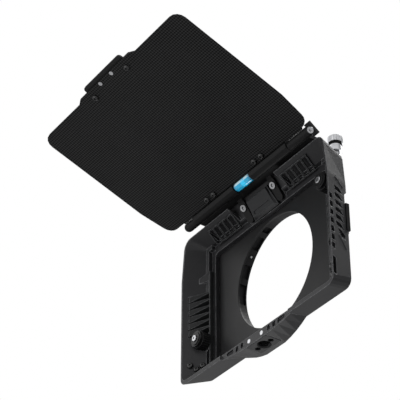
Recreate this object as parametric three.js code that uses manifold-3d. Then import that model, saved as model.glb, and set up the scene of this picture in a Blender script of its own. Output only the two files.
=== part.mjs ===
// Matte box for a cinema lens: a sculpted hood with a round lens opening, a filter recess with
// two retaining knobs, louvred walls, and a carbon top flag on a friction hinge.
// Units are millimetres. +Z is up, +Y runs from the scene towards the camera, and the origin is
// the lens axis at the front face of the back plate.
import * as THREE from "three";
import { mergeVertices } from "three/addons/utils/BufferGeometryUtils.js";
import Module from "manifold-3d";

const wasm = await Module();
wasm.setup();

// Clearances
const SEAT_GAP = 0.3; // between fixed pieces that rest on each other
const RUN_GAP = 0.3; // between a moving piece and its neighbour
const OVERRUN = 1; // how far a cutting solid runs past the face that it cuts
const FUSE = 0.4; // how far joined solids reach into each other

// Facets
const BORE_STEPS = 72;
const ROUND_STEPS = 24;
const SMALL_STEPS = 16;
const CORNER_STEPS = 4;
const PILL_STEPS = 8;
const PILL_SHARE = 0.999; // keeps a short straight between a pill's two arcs

// Filter and its recess
const FILTER_WIDTH = 143.5;
const FILTER_HEIGHT = 101.6;
const FILTER_THICKNESS = 4;
const FILTER_PLAY = 0.35;
const FILTER_CORNER = 3;
const RECESS_HALF_WIDTH = FILTER_WIDTH / 2 + FILTER_PLAY;
const RECESS_HALF_HEIGHT = FILTER_HEIGHT / 2 + FILTER_PLAY;
const FLOOR_MARGIN = 4.1; // from the recess out to the edge of the floor around it
const LEDGE_MARGIN = 3.8; // from that edge out to the foot of the sloped side walls
const SIDE_SPLAY = 15; // from the foot of the side walls out to the rim
const FLOOR_HALF_WIDTH = RECESS_HALF_WIDTH + FLOOR_MARGIN;
const LEDGE_HALF_WIDTH = FLOOR_HALF_WIDTH + LEDGE_MARGIN;

// Hood outside
const HOOD_DEPTH = 22;
const RIM_HALF_WIDTH = LEDGE_HALF_WIDTH + SIDE_SPLAY;
const RIM_TOP = 65.8;
const RIM_BOTTOM = -68;
const RIM_SHOULDER_Z = 28;
const RIM_SHOULDER_LEAN = 4; // how far the sides lean in above the shoulder
const REAR_SHOULDER_LEAN = 2.2; // the same at the rear
const RIM_SHOULDER_RADIUS = 45;
const RIM_TOP_RADIUS = 9;
const RIM_BOTTOM_RADIUS = 6.5;
const HOOD_SIDE_TAPER = 6;
const HOOD_TOP_TAPER = 4.8;
const HOOD_BOTTOM_TAPER = 7.4;

// Hood inside
const RIM_LAND = 1.5;
const RIM_LAND_TOP = 0.6;
const RIM_LAND_BOTTOM = 3.5;
const LEDGE_DEPTH = 8; // from the lens opening forward to the ledge
const LEDGE_TOP = 58.2;
const LEDGE_BOTTOM = -57;
const LEDGE_CORNER = 3;
const FLOOR_HALF_HEIGHT = 54.6;
const FLOOR_STRIP_HALF = RECESS_HALF_WIDTH;

// Bottom lip and bulge
const LIP_HALF_WIDTH = 42.3;
const LIP_SETBACK = 2;
const LIP_TOP = -62;
const LIP_SIDE_Z = -67.6;
const BULGE_RADIUS = 71.3;
const BULGE_REAR_HALF = 37.6;
const BULGE_REAR_TOP = -57;
const PAD_Z = -70.8;
const LIP_POCKET_DEPTH = 1.8;
const LIP_POCKET_TOP = -64.4;
const LIP_POCKET_BOTTOM = -69;
const LIP_POCKET_OUTER_BOTTOM = -67.4;
const LIP_POCKET_EDGES = [[14.8, 18.2], [20.9, 24.8], [27.3, 36]];

// Mount pad
const PAD_HALF_WIDTH = 11.85;
const PAD_FRONT = -19.1;
const PAD_REAR = -4.9;
const PAD_THICKNESS = 1.5;
const PAD_CORNER = 1.2;
const PAD_BLOCK_INSET = 2.1;
const PAD_BLOCK_HEIGHT = 7;
const THREAD_RADIUS = 4.76;
const THREAD_MOUTH_RADIUS = 5.7;
const THREAD_MOUTH_DEPTH = 0.9;
const THREAD_Y = -11.5;
const PIN_HOLE_X = 8;
const PIN_HOLE_RADIUS = 2.25;
const PIN_HOLE_DEPTH = 5;

// Lip magnets
const LIP_MAGNET_X = 7.7;
const LIP_MAGNET_Z = -67.1;
const LIP_MAGNET_RADIUS = 1.8;
const LIP_MAGNET_THICKNESS = 1.7;

// Back plate and lens ring
const PLATE_HALF_WIDTH = LEDGE_HALF_WIDTH;
const PLATE_MARGIN = 4.85; // from the recess up and down to the plate's edges
const PLATE_HALF_HEIGHT = RECESS_HALF_HEIGHT + PLATE_MARGIN;
const PLATE_THICKNESS = 3.5;
const PLATE_CORNER = 3;
const LENS_RADIUS = 47.5;
const LENS_LIP = 1.5;
const RING_BORE_STEP = 2.1; // from the lens opening out to the ring's bore
const RING_WIDTH = 8; // from the lens opening out to the ring's edge
const RING_SPIGOT_STEP = 4.4;
const RING_BORE_RADIUS = LENS_RADIUS + RING_BORE_STEP;
const RING_OUTER_RADIUS = LENS_RADIUS + RING_WIDTH;
const RING_REAR = 10;
const RING_SPIGOT_RADIUS = LENS_RADIUS + RING_SPIGOT_STEP;
const RING_SPIGOT_FRONT = 1.8;
const RING_NOTCH_DEPTH = 2.5;
const RING_NOTCH_REAR = 9;
const RING_NOTCHES_DEG = [[108, 7], [124, 14], [153, 13], [176, 21], [288, 7], [304, 14], [333, 13],
  [356, 21]];
const RING_SCREW_FIRST = THREE.MathUtils.degToRad(12);
const RING_SCREW_RADIUS = 0.7;
const RING_SCREW_HEAD = 1.15;
const RING_SCREW_HEAD_HEIGHT = 1.3;
const RING_SCREW_GRIP = 2.4; // depth of the screw in the plate
const RING_SCREW_COUNT = 4;

// Detent plunger in the bore of the ring
const DETENT_ANGLE = THREE.MathUtils.degToRad(138);
const DETENT_Y = 6;
const DETENT_RADIUS = 1.3;
const DETENT_LENGTH = 4.6;
const DETENT_PROUD = 0.8;

// Side vents and louvres
const VENT_BOTTOM = -22.3;
const VENT_FLOOR = -4.6;
const VENT_SKIN = 1.4;
const VENT_MARGIN = 0.5; // between the fins and the ends of the pocket behind them
const VENT_COUNT = 6;
const VENT_PITCH = 6.4;
const VENT_FIRST_Z = 20.3; // top of the first slot
const VENT_SLOT_FRONT = -14.8;
const VENT_SLOT_REAR = -4.4;
const VENT_SLOT_HEIGHT = 4;
const VENT_SLOT_LEAN = 0.6;
const VENT_SLOT_SWEEP = 4.4;
const VENT_SLOT_TIP = 4.2; // how far the rear tip of a slot lies below its top
const RAIL_INSET = 0.9;
const RAIL_X = FLOOR_HALF_WIDTH - RAIL_INSET;
const RAIL_WIDTH = 1.2;
const RAIL_TOP = 34.8;
const RAIL_BOTTOM = -52.5;
const RAIL_SLOT_TOP = -38;
const RAIL_SLOT_WIDTH = 3.4;
const FIN_COUNT = 6;
const FIN_FIRST_Z = 15.4;
const FIN_PITCH = 6.3;
const FIN_THICKNESS = 1.4;
const FIN_TIP_THICKNESS = 5.4;
const FIN_RISE = 2.4;
const FIN_TIP_Y = -18.3;
const GUSSET_FOOT = 8.6; // height of the gusset at the rail
const GUSSET_TIP = 6; // height of its outer end
const GUSSET_DROP = 5.6; // how far its outer end lies below the rail's top
const GUSSET_REACH = 7.6;

// Scooped pocket under the vents
const SCOOP_OUTLINE = [[-13, -17.2], [-8.4, -17.2], [-3.9, -20.2], [-4.6, -24.2], [-10.2, -23]];
const SCOOP_DEPTH = 2.2;

// Blind windows along the front edge of each side
const WINDOW_COUNT = 7;
const WINDOW_PITCH = 7.27;
const WINDOW_FIRST_Z = 10.2; // top of the first window
const WINDOW_HEIGHT = 4.9;
const WINDOW_FRONT = -21.3;
const WINDOW_REAR = -17.4;
const WINDOW_SKIN = 0.9;
const LONG_WINDOW_TOP = -45.4;
const LONG_WINDOW_BOTTOM = -60;

// Top louvre frames
const TOP_SLOPE = Math.atan2(RIM_TOP - RIM_LAND_TOP - LEDGE_TOP, HOOD_DEPTH - LEDGE_DEPTH);
const TOP_FRAME_FRONT = -18.4;
const TOP_FRAME_REAR = -5.2;
const TOP_FRAME_HEIGHT = 1.1;
const TOP_SLOT_COUNT = 5;
const TOP_SLOT_PITCH = 6.4;
const TOP_SLOT_WIDTH = 4.8;
const TOP_SLOT_FIRST_X = 35.4;
const TOP_SLOT_SPLAY = 3.8; // run of every slot to the left from its front to its rear end
const TOP_FRAME_BORDER = 1.1;
const TOP_POCKET_FRONT = -17;
const TOP_POCKET_REAR = -6.4;
const TOP_POCKET_SKIN = 0.9;

// Retaining knobs
const KNOB_OFFSET = 3.9; // from the floor's edge to the knob's axis
const KNOB_X = FLOOR_HALF_WIDTH + KNOB_OFFSET;
const KNOB_Z = 29.9;
const KNOB_RADIUS = 7.2;
const KNOB_TEETH = 24;
const KNOB_TOOTH = 0.5;
const KNOB_BODY_FRONT = -15.4;
const KNOB_RING_RADIUS = 6.7;
const KNOB_RING_FRONT = -18.2;
const KNOB_FACE_RADIUS = 5.4;
const KNOB_FACE_FRONT = -19;
const KNOB_CAP_RADIUS = 2.7;
const KNOB_CAP_FRONT = -20;
const KNOB_CAP_SOCKET = 1.2;
const KNOB_CAP_SOCKET_DEPTH = 0.4;
const KNOB_POCKET_GAP = 0.7;
const KNOB_STUD_RADIUS = 2;
const KNOB_STUD_END = -1.6;

// Corner screws
const CORNER_SCREW_PLACES = [[-17.1, -50.4], [-13.5, -54], [-9.9, -51]];
const CORNER_HEAD_RADIUS = 2.6;
const CORNER_HEAD_HEIGHT = 1.7;
const CORNER_SHANK_RADIUS = 1.2;
const CORNER_SHANK_LENGTH = 2.2;

// Hinge and flag bracket
const HINGE_Y = -29.5;
const HINGE_Z = 68.5;
const BARREL_RADIUS = 4;
const BAR_HALF_LENGTH = 61.4;
const BARREL_LEFT_LENGTH = 11.5;
const BARREL_RIGHT_LENGTH = 25.3;
const BARREL_RIGHT_INNER = BAR_HALF_LENGTH + RUN_GAP;
const BARREL_RIGHT_OUTER = BARREL_RIGHT_INNER + BARREL_RIGHT_LENGTH;
const BARREL_LEFT_INNER = -BARREL_RIGHT_INNER;
const BARREL_LEFT_OUTER = BARREL_LEFT_INNER - BARREL_LEFT_LENGTH;
const CROSSBAR_LEFT_PAST = 4.3; // how far the crossbar runs past the bar at the left
const CROSSBAR_RIGHT_PAST = 16.3;
const CROSSBAR_LEFT = BARREL_LEFT_INNER - CROSSBAR_LEFT_PAST;
const CROSSBAR_RIGHT = BARREL_RIGHT_INNER + CROSSBAR_RIGHT_PAST;
const CROSSBAR_FRONT = -24.5;
const CROSSBAR_REAR = -16.4;
const CROSSBAR_BOTTOM = 69.3;
const CROSSBAR_TOP = 72.6;
const NECK_HALF_WIDTH = 2.6;
const NECK_FOOT = 3; // how far up the face from the screws the necks start
const NECK_PROUD = 0.8;
const KNUCKLE_WIDTH = 8;
const PIN_RADIUS = 1.5;
const PIN_ENGAGED = 10; // length of each hinge pin in the moving bar
const ARM_X = 19.2;
const ARM_WIDTH = 7;
const ARM_UP = 6.5;
const ARM_DOWN = 13.6;
const ARM_THICKNESS = 2.8;
const FACE_Y = -14;
const FACE_Z = 63;
const FACE_TILT = THREE.MathUtils.degToRad(125.5); // turns a flat plate into the bracket's face
const SEAT_HALF_WIDTH = 23.6;
const SEAT_WING = 7.5; // how far the seat's wide upper part runs into the walls beside it
const SEAT_TOP = 71;
const SEAT_REAR = -1;
const NOTCH_HALF_WIDTH = 30.5;
const NOTCH_REAR = -15;
const COVER_TOP_HALF = 13.4;
const COVER_FOOT_HALF = 15.3;
const COVER_UP = 3.4;
const COVER_DOWN = 14.8;
const COVER_EDGE = 0.5;
const COVER_PANEL_TOP_HALF = 12.2;
const COVER_PANEL_FOOT_HALF = 12.8;
const COVER_BEVEL = 1.4;
const COVER_PANEL_HEIGHT = 2;
const COVER_GROOVE_DEPTH = 0.7;
const COVER_GROOVE_HALF_LENGTH = 10.6;
const COVER_GROOVE_WIDTH = 3;
const COVER_GROOVE_DOWN = 9;
const BRACKET_SCREW_HEAD = 2.9;
const BRACKET_SCREW_HEAD_HEIGHT = 1.6;
const BRACKET_SCREW_RADIUS = 1.5;
const BRACKET_SCREW_LENGTH = 7.6;
const BRACKET_SOCKET_RADIUS = 1.5;

// Right hand barrel cap and tension screw
const LUG_FACE = 3.6; // from the hinge axis to the face with the tension screw
const LUG_DEPTH = 2.8;
const LUG_HALF_LENGTH = 5.8;
const LUG_THICKNESS = 5.2;
const LUG_TILT = THREE.MathUtils.degToRad(-36.9);
const TENSION_HEAD_RADIUS = 2.7;
const TENSION_HEAD_HEIGHT = 0.9;
const TENSION_SHANK_RADIUS = 1.2;
const TENSION_SHANK_LENGTH = 2;
const TENSION_SOCKET_RADIUS = 1.2;

// Flag
const FLAG_TILT = THREE.MathUtils.degToRad(19.95);
const FLAG_HALF_WIDTH = RIM_HALF_WIDTH;
const FLAG_LENGTH = 131.5;
const FLAG_CORNER = 9;
const FLAG_WAIST = 4; // how far the near corners are set in
const FLAG_WAIST_LENGTH = 30;
const FLAG_EAR_LENGTH = 20.7; // length of the tongue that reaches the right barrel
const FLAG_EAR_END = BARREL_RIGHT_INNER + FLAG_EAR_LENGTH;
const FLAG_EAR_NEAR = 4.4; // from the hinge axis to the near edge beside the bar
const FLAG_NEAR = 5.6; // from the hinge axis to the near edge of the sheet
const SHEET_FACE = -0.43; // height of the sheet's underside over the hinge axis
const SHEET_THICKNESS = 1.5;
const TONGUE_HALF_BASE = 39.5;
const TONGUE_HALF_TIP = 33.8;
const TONGUE_LENGTH = 2.8;
const BAR_FRONT = 5.3;
const BAR_FOOT = -2;
const BAR_CROWN = 4.2;
const LEAF_REACH = 14;
const LEAF_THICKNESS = 1.9;
const FLAG_SCREW_X = [27, 36.1];
const FLAG_SCREW_INSET = 3.4;
const BUTTON_RADIUS = 2.6;
const BUTTON_HEIGHT = 1.5;
const BUTTON_SHANK_RADIUS = 1.1;
const BUTTON_SHANK_LENGTH = 2.9;

// Level vial
const VIAL_RADIUS = 3.5;
const VIAL_HALF_LENGTH = 10.4;
const VIAL_X = 3.8;
const VIAL_REACH = 0.8;
const VIAL_HEIGHT = -0.5;
const VIAL_DOME = 1.2;

// Pull tab
const TAB_HALF_WIDTH = 25.5;
const TAB_ROOT = 121;
const TAB_TIP = 138.2;
const TAB_THICKNESS = 1.6;
const TAB_CORNER = 3;
const TAB_SCREW_X = 22.4;
const TAB_SCREW_AT = 126.7;
const TAB_MAGNET_X = 7.75;
const TAB_MAGNET_AT = 132;
const TAB_MAGNET_RADIUS = 1.7;

// Lock knob over the back plate
const LOCK_INSET = 3.3;
const LOCK_X = PLATE_HALF_WIDTH - LOCK_INSET;
const LOCK_Y = 3;
const LOCK_RADIUS = 6;
const LOCK_TEETH = 28;
const LOCK_TOOTH = 0.35;
const LOCK_BOTTOM = 67.2;
const LOCK_LOWER_HEIGHT = 5.6;
const LOCK_GROOVE_HEIGHT = 2.4;
const LOCK_UPPER_HEIGHT = 5.4;
const LOCK_COLLAR_RADIUS = 4.9;
const LOCK_GROOVE_RADIUS = 4.3;
const LOCK_RING_RADIUS = 5.3;
const LOCK_STEM_RADIUS = 2.9;
const LOCK_SHAFT_RADIUS = 1.6;
const LOCK_SHAFT_END = 53.4;
const LUG_BASE = 56.6;
const LUG_TOP = 63.6;
const LOCK_LUG_OUTLINE = [[-4.1, -1], [3.3, -1], [3.3, 2.5], [1.7, 5.5], [-4.1, 5.5]]; // x from the knob

// Side latch
const LATCH_BOTTOM = -13.9;
const LATCH_TOP = 10;
const LATCH_OFFSET = 0.7; // from the back plate's edge to the strip
const LATCH_WIDTH = 6.3;
const LATCH_INNER = PLATE_HALF_WIDTH + LATCH_OFFSET;
const LATCH_OUTER = LATCH_INNER + LATCH_WIDTH;
const LATCH_PAD_WIDTH = 3.6;
const LATCH_PAD_OUTER = LATCH_OUTER + LATCH_PAD_WIDTH;
const LATCH_PAD_ROOT = 0.8; // how far the pad reaches into the strip
const LATCH_PAD_REAR = 0.9;
const LATCH_THICKNESS = 2;
const LATCH_TRAVEL = 10;
const LATCH_HOOK_THICKNESS = 1.8;
const LATCH_HOOK_REACH = 3;
const LATCH_HOOK_TIP = PLATE_HALF_WIDTH - LATCH_HOOK_REACH;
const LATCH_HOOK_TOP = -7.6;
const LATCH_WEB = 1.6;
const LATCH_SCREW_X = LATCH_INNER + LATCH_WIDTH / 2;
const LATCH_SCREW_Z = 5;
const LATCH_SCREW_RADIUS = 1.2;
const LATCH_HEAD_RADIUS = 2.1;
const LATCH_HEAD_HEIGHT = 1.1;
const LATCH_SCREW_GRIP = 3;
const LATCH_NOTCH_TOP = 20.5;
const LATCH_NOTCH_X = LATCH_OUTER - LATCH_PAD_ROOT;
const LATCH_NOTCH_DEPTH = 2.5;
const CATCH_HALF_HEIGHT = 20;
const CATCH_WIDTH = 2.6;
const CATCH_OUTER = PLATE_HALF_WIDTH + CATCH_WIDTH;

// Materials
const BLACK_SHELL = { color: 0x2b2c2e, roughness: 0.62, metalness: 0.05 };
const BLACK_PLATE = { color: 0x242527, roughness: 0.5, metalness: 0.35 };
const BLACK_SCREW = { color: 0x1b1b1d, roughness: 0.38, metalness: 0.7 };
const CARBON = { color: 0x17181a, roughness: 0.42, metalness: 0.1 };
const SILVER = { color: 0xc9cbce, roughness: 0.28, metalness: 1 };
const RUBBER = { color: 0x121213, roughness: 0.85, metalness: 0 };
const CYAN = { color: 0x2fb4dc, roughness: 0.12, metalness: 0 };

// Depths that follow from the sizes above
const FLOOR_Y = -FILTER_THICKNESS;
const LEDGE_Y = -LEDGE_DEPTH;
const RING_SCREW_SEAT = RING_REAR - RING_SCREW_HEAD_HEIGHT - 2 * SEAT_GAP;
const RIM_Y = -HOOD_DEPTH;
const LIP_Y = RIM_Y + LIP_SETBACK;

// A closed geometry as a solid whose faces point outward
function solidOf(geometry) {
  const bare = geometry.clone();
  bare.deleteAttribute("normal");
  bare.deleteAttribute("uv");
  const merged = mergeVertices(bare);
  const corners = merged.index.array;
  const triangles = [];
  let volume = 0;
  const [a, b, c] = [new THREE.Vector3(), new THREE.Vector3(), new THREE.Vector3()];
  for (let i = 0; i < corners.length; i += 3) {
    const [p, q, r] = corners.subarray(i, i + 3);
    if (p !== q && q !== r && r !== p) {
      triangles.push([p, q, r]);
      a.fromBufferAttribute(merged.attributes.position, p);
      b.fromBufferAttribute(merged.attributes.position, q);
      c.fromBufferAttribute(merged.attributes.position, r);
      volume += a.dot(b.cross(c));
    }
  }
  const outward = volume < 0 ? triangles.map(([p, q, r]) => [p, r, q]) : triangles;
  const mesh = new wasm.Mesh({
    numProp: 3,
    vertProperties: new Float32Array(merged.attributes.position.array),
    triVerts: new Uint32Array(outward.flat()),
  });
  return new wasm.Manifold(mesh);
}

function join(first, ...others) {
  return others.reduce((body, other) => body.add(other), first);
}

function cut(body, ...tools) {
  return tools.reduce((rest, tool) => rest.subtract(tool), body);
}

function piece(name, solid, finish) {
  const mesh = solid.getMesh();
  const geometry = new THREE.BufferGeometry();
  geometry.setAttribute("position", new THREE.BufferAttribute(mesh.vertProperties, 3));
  geometry.setIndex(new THREE.BufferAttribute(mesh.triVerts, 1));
  geometry.computeVertexNormals();
  const result = new THREE.Mesh(geometry, new THREE.MeshStandardMaterial(finish));
  result.name = name;
  return result;
}

function numbered(name, solids, finish) {
  return solids.map((solid, i) => piece(`${name}_${i + 1}`, solid, finish));
}

// Outlines are lists of [x, y] points
function circle(radius, steps = ROUND_STEPS, x = 0, y = 0) {
  return Array.from({ length: steps }, (_, i) => {
    const angle = (2 * Math.PI * i) / steps;
    return [x + radius * Math.cos(angle), y + radius * Math.sin(angle)];
  });
}

function knurl(radius, tooth, teeth, x = 0, y = 0) {
  return Array.from({ length: 2 * teeth }, (_, i) => {
    const angle = (Math.PI * i) / teeth;
    const reach = i % 2 ? radius : radius - tooth;
    return [x + reach * Math.cos(angle), y + reach * Math.sin(angle)];
  });
}

function box(x0, x1, y0, y1) {
  return [[x0, y0], [x1, y0], [x1, y1], [x0, y1]];
}

// A polygon with each corner turned into an arc; radii may be one number or one per corner
function rounded(points, radii, steps = CORNER_STEPS) {
  const result = [];
  points.forEach((point, i) => {
    const corner = new THREE.Vector2(...point);
    const before = new THREE.Vector2(...points[(i + points.length - 1) % points.length]).sub(corner);
    const after = new THREE.Vector2(...points[(i + 1) % points.length]).sub(corner);
    const half = Math.acos(before.dot(after) / (before.length() * after.length())) / 2;
    const radius = Array.isArray(radii) ? radii[i] : radii;
    const run = radius / Math.tan(half);
    const start = corner.clone().addScaledVector(before.normalize(), run);
    const end = corner.clone().addScaledVector(after.normalize(), run);
    const middle = before.clone().add(after).normalize().multiplyScalar(radius / Math.sin(half)).add(corner);
    const turn = start.clone().sub(middle).cross(end.clone().sub(middle));
    const sweep = Math.sign(turn) * (Math.PI - 2 * half);
    for (let k = 0; k <= steps; k += 1) {
      const arm = start.clone().sub(middle).rotateAround(new THREE.Vector2(), (sweep * k) / steps);
      result.push([middle.x + arm.x, middle.y + arm.y]);
    }
  });
  return result;
}

function roundedBox(x0, x1, y0, y1, radius) {
  return rounded(box(x0, x1, y0, y1), radius);
}

// A pill standing along y from low to high, round at both ends
function pill(x, low, high, width) {
  const radius = width / 2;
  return rounded(box(x - radius, x + radius, low, high), radius * PILL_SHARE, PILL_STEPS);
}

function extrude(points, length) {
  const shape = new THREE.Shape(points.map(([x, y]) => new THREE.Vector2(x, y)));
  return new THREE.ExtrudeGeometry(shape, { depth: length, steps: 1, bevelEnabled: false });
}

// Prisms along an axis: outlines are in (y, z), (x, z) and (x, y)
function alongX(points, x0, x1) {
  const axes = new THREE.Matrix4().makeBasis(
    new THREE.Vector3(0, 1, 0), new THREE.Vector3(0, 0, 1), new THREE.Vector3(1, 0, 0));
  return solidOf(extrude(points, x1 - x0).applyMatrix4(axes).translate(x0, 0, 0));
}

function alongY(points, y0, y1) {
  return solidOf(extrude(points, y1 - y0).rotateX(Math.PI / 2).translate(0, y1, 0));
}

function alongZ(points, z0, z1) {
  return solidOf(extrude(points, z1 - z0).translate(0, 0, z0));
}

// A body along z whose outline changes from start to end, point by point
function tapered(start, end, length) {
  const geometry = extrude(start, length);
  const places = geometry.attributes.position;
  for (let i = 0; i < places.count; i += 1) {
    if (places.getZ(i) === 0) {
      continue;
    }
    const match = start.findIndex(([x, y]) =>
      Math.fround(x) === places.getX(i) && Math.fround(y) === places.getY(i));
    places.setXY(i, ...end[match]);
  }
  return geometry;
}

// The same along y, from an outline in (x, z) at the front to one at the rear
function loft(front, rear, y0, y1) {
  return solidOf(tapered(front, rear, y1 - y0).rotateX(-Math.PI / 2).scale(1, 1, -1).translate(0, y0, 0));
}

// A turned solid about the y axis from a closed outline in (radius, y)
function turned(profile, steps = ROUND_STEPS) {
  const points = [...profile, profile[0]].map(([radius, y]) => new THREE.Vector2(radius, y));
  return new THREE.LatheGeometry(points, steps);
}

// A button head screw about the y axis, with its head's underside at the origin and its head on +y
function buttonScrew(headRadius, headHeight, shankRadius, shankLength, steps = SMALL_STEPS) {
  const crownShare = 0.62;
  const wallShare = 0.3;
  const socketShare = 0.42;
  const socketDepthShare = 0.6;
  const crown = headRadius * crownShare;
  const socket = headRadius * socketShare;
  const body = solidOf(turned([
    [0, -shankLength], [shankRadius, -shankLength], [shankRadius, 0], [headRadius, 0],
    [headRadius, headHeight * wallShare], [(headRadius + crown) / 2,
      headHeight * (1 + wallShare) / 2 + headHeight / 8],
    [crown, headHeight], [0, headHeight],
  ], steps));
  return cut(body, alongY(circle(socket, 6), headHeight * (1 - socketDepthShare), headHeight + OVERRUN));
}

function moved(solid, matrix) {
  const mesh = solid.getMesh();
  const geometry = new THREE.BufferGeometry();
  geometry.setAttribute("position", new THREE.BufferAttribute(new Float32Array(mesh.vertProperties), 3));
  geometry.setIndex(new THREE.BufferAttribute(new Uint32Array(mesh.triVerts), 1));
  return solidOf(geometry.applyMatrix4(matrix));
}

function at(x, y, z, turnX = 0, turnZ = 0) {
  const turn = new THREE.Quaternion().setFromEuler(new THREE.Euler(turnX, 0, turnZ, "ZYX"));
  return new THREE.Matrix4().compose(new THREE.Vector3(x, y, z), turn, new THREE.Vector3(1, 1, 1));
}

function mix(a, b, share) {
  return a + (b - a) * share;
}

// The hood's outline with its leaning shoulders
function hoodOutline(half, top, bottom, lean, shoulderZ, shoulderRadius, topRadius, bottomRadius) {
  return rounded(
    [[-half, bottom], [half, bottom], [half, shoulderZ], [half - lean, top], [lean - half, top],
      [-half, shoulderZ]],
    [bottomRadius, bottomRadius, shoulderRadius, topRadius, topRadius, shoulderRadius]);
}

function outsideAt(y) {
  const share = (y - RIM_Y) / HOOD_DEPTH;
  return hoodOutline(RIM_HALF_WIDTH - HOOD_SIDE_TAPER * share, RIM_TOP - HOOD_TOP_TAPER * share,
    RIM_BOTTOM + HOOD_BOTTOM_TAPER * share, mix(RIM_SHOULDER_LEAN, REAR_SHOULDER_LEAN, share),
      RIM_SHOULDER_Z,
    RIM_SHOULDER_RADIUS, RIM_TOP_RADIUS, RIM_BOTTOM_RADIUS);
}

// Half width of the hood's outer side and of its sloped inner wall at a depth
function outerHalfAt(y) {
  return RIM_HALF_WIDTH - (HOOD_SIDE_TAPER * (y - RIM_Y)) / HOOD_DEPTH;
}

function innerShare(y) {
  return (y - RIM_Y) / (LEDGE_Y - RIM_Y);
}

function innerHalfAt(y) {
  return mix(RIM_HALF_WIDTH - RIM_LAND, LEDGE_HALF_WIDTH, innerShare(y));
}

function innerTopAt(y) {
  return mix(RIM_TOP - RIM_LAND_TOP, LEDGE_TOP, innerShare(y));
}

function insideAt(y) {
  const share = innerShare(y);
  const leanShare = 0.1;
  return hoodOutline(innerHalfAt(y), innerTopAt(y), mix(RIM_BOTTOM + RIM_LAND_BOTTOM, LEDGE_BOTTOM, share),
    RIM_SHOULDER_LEAN * mix(1, leanShare, share), RIM_SHOULDER_Z, RIM_SHOULDER_RADIUS,
    mix(RIM_TOP_RADIUS - RIM_LAND, LEDGE_CORNER, share),
      mix(RIM_BOTTOM_RADIUS - RIM_LAND, LEDGE_CORNER, share));
}

// Bulge under the lens opening, from the lip back to an arc about the lens axis
function bulge() {
  const hipShares = [1, 0.84, 0.66, 0.48, 0.3];
  const frontDropShares = [0, 0.45, 0.66, 0.86, 1];
  const arc = (x) => Math.max(-Math.sqrt(BULGE_RADIUS ** 2 - x ** 2), PAD_Z);
  const front = hipShares.map((share, i) => [LIP_HALF_WIDTH * share,
    mix(LIP_SIDE_Z, PAD_Z, frontDropShares[i])]);
  const rear = hipShares.map((share) => [BULGE_REAR_HALF * share, arc(BULGE_REAR_HALF * share)]);
  const mirror = (points) => points.map(([x, z]) => [-x, z]).reverse();
  return loft([[LIP_HALF_WIDTH, LIP_TOP], ...front, ...mirror(front), [-LIP_HALF_WIDTH, LIP_TOP]],
    [[BULGE_REAR_HALF, BULGE_REAR_TOP], ...rear, ...mirror(rear), [-BULGE_REAR_HALF, BULGE_REAR_TOP]],
    LIP_Y, -SEAT_GAP);
}

function lipPockets() {
  const [, , outermost] = LIP_POCKET_EDGES;
  return LIP_POCKET_EDGES.flatMap((edges) => [-1, 1].map((side) => {
    const outerBottom = edges === outermost ? LIP_POCKET_OUTER_BOTTOM : LIP_POCKET_BOTTOM;
    const [inner, outer] = edges.map((edge) => edge * side);
    const outline = [[inner, LIP_POCKET_BOTTOM], [outer, outerBottom], [outer, LIP_POCKET_TOP],
      [inner, LIP_POCKET_TOP]];
    return alongY(outline, LIP_Y - OVERRUN, LIP_Y + LIP_POCKET_DEPTH);
  }));
}

// Leans a solid of one side so that it falls away from the rail by the rise of the fins
function leaned(solid, side) {
  const railOuter = RAIL_X + RAIL_WIDTH / 2;
  const slope = FIN_RISE / (innerHalfAt(FIN_TIP_Y) - SEAT_GAP - railOuter);
  return moved(solid, new THREE.Matrix4().set(1, 0, 0, 0, 0, 1, 0, 0, -side * slope, 0, 1,
    slope * railOuter,
    0, 0, 0, 1));
}

// The vents of one side: the pocket behind the louvre, the slots through the skin and the scoop
function sideVents(side) {
  const front = FIN_TIP_Y - SEAT_GAP;
  const skinX = side * (outerHalfAt(VENT_FLOOR) - VENT_SKIN);
  const inner = side * FLOOR_HALF_WIDTH;
  const pocket = leaned(alongZ([[inner, front], [side * innerHalfAt(front), front], [skinX, VENT_FLOOR],
    [inner, VENT_FLOOR]], VENT_BOTTOM, FIN_FIRST_Z + VENT_MARGIN), side);
  const slotOuter = side * (FLOOR_HALF_WIDTH + RAIL_SLOT_WIDTH);
  const railSlot = alongZ([[inner, LEDGE_Y - OVERRUN], [slotOuter, LEDGE_Y - OVERRUN],
    [slotOuter, VENT_FLOOR],
    [inner, VENT_FLOOR]], RAIL_BOTTOM, RAIL_SLOT_TOP);
  const reach = [side * (innerHalfAt(VENT_SLOT_FRONT) + VENT_SKIN), side * (RIM_HALF_WIDTH + OVERRUN)];
  reach.sort((a, b) => a - b);
  const slots = Array.from({ length: VENT_COUNT }, (_, i) => {
    const z = VENT_FIRST_Z - i * VENT_PITCH;
    return alongX([[VENT_SLOT_FRONT, z], [VENT_SLOT_REAR - VENT_SLOT_SWEEP, z],
      [VENT_SLOT_REAR, z - VENT_SLOT_TIP],
      [VENT_SLOT_FRONT + VENT_SLOT_LEAN, z - VENT_SLOT_HEIGHT]], ...reach);
  });
  return [pocket, railSlot, ...slots, scoop(side), ...rimWindows(side)];
}

function rimWindows(side) {
  const floorAt = (y) => side * (innerHalfAt(y) + WINDOW_SKIN);
  const past = side * (RIM_HALF_WIDTH + OVERRUN);
  const plan = [[floorAt(WINDOW_FRONT), WINDOW_FRONT], [past, WINDOW_FRONT], [past, WINDOW_REAR],
    [floorAt(WINDOW_REAR), WINDOW_REAR]];
  const row = Array.from({ length: WINDOW_COUNT }, (_, i) => {
    const top = WINDOW_FIRST_Z - i * WINDOW_PITCH;
    return alongZ(plan, top - WINDOW_HEIGHT, top);
  });
  return [...row, alongZ(plan, LONG_WINDOW_BOTTOM, LONG_WINDOW_TOP)];
}

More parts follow.
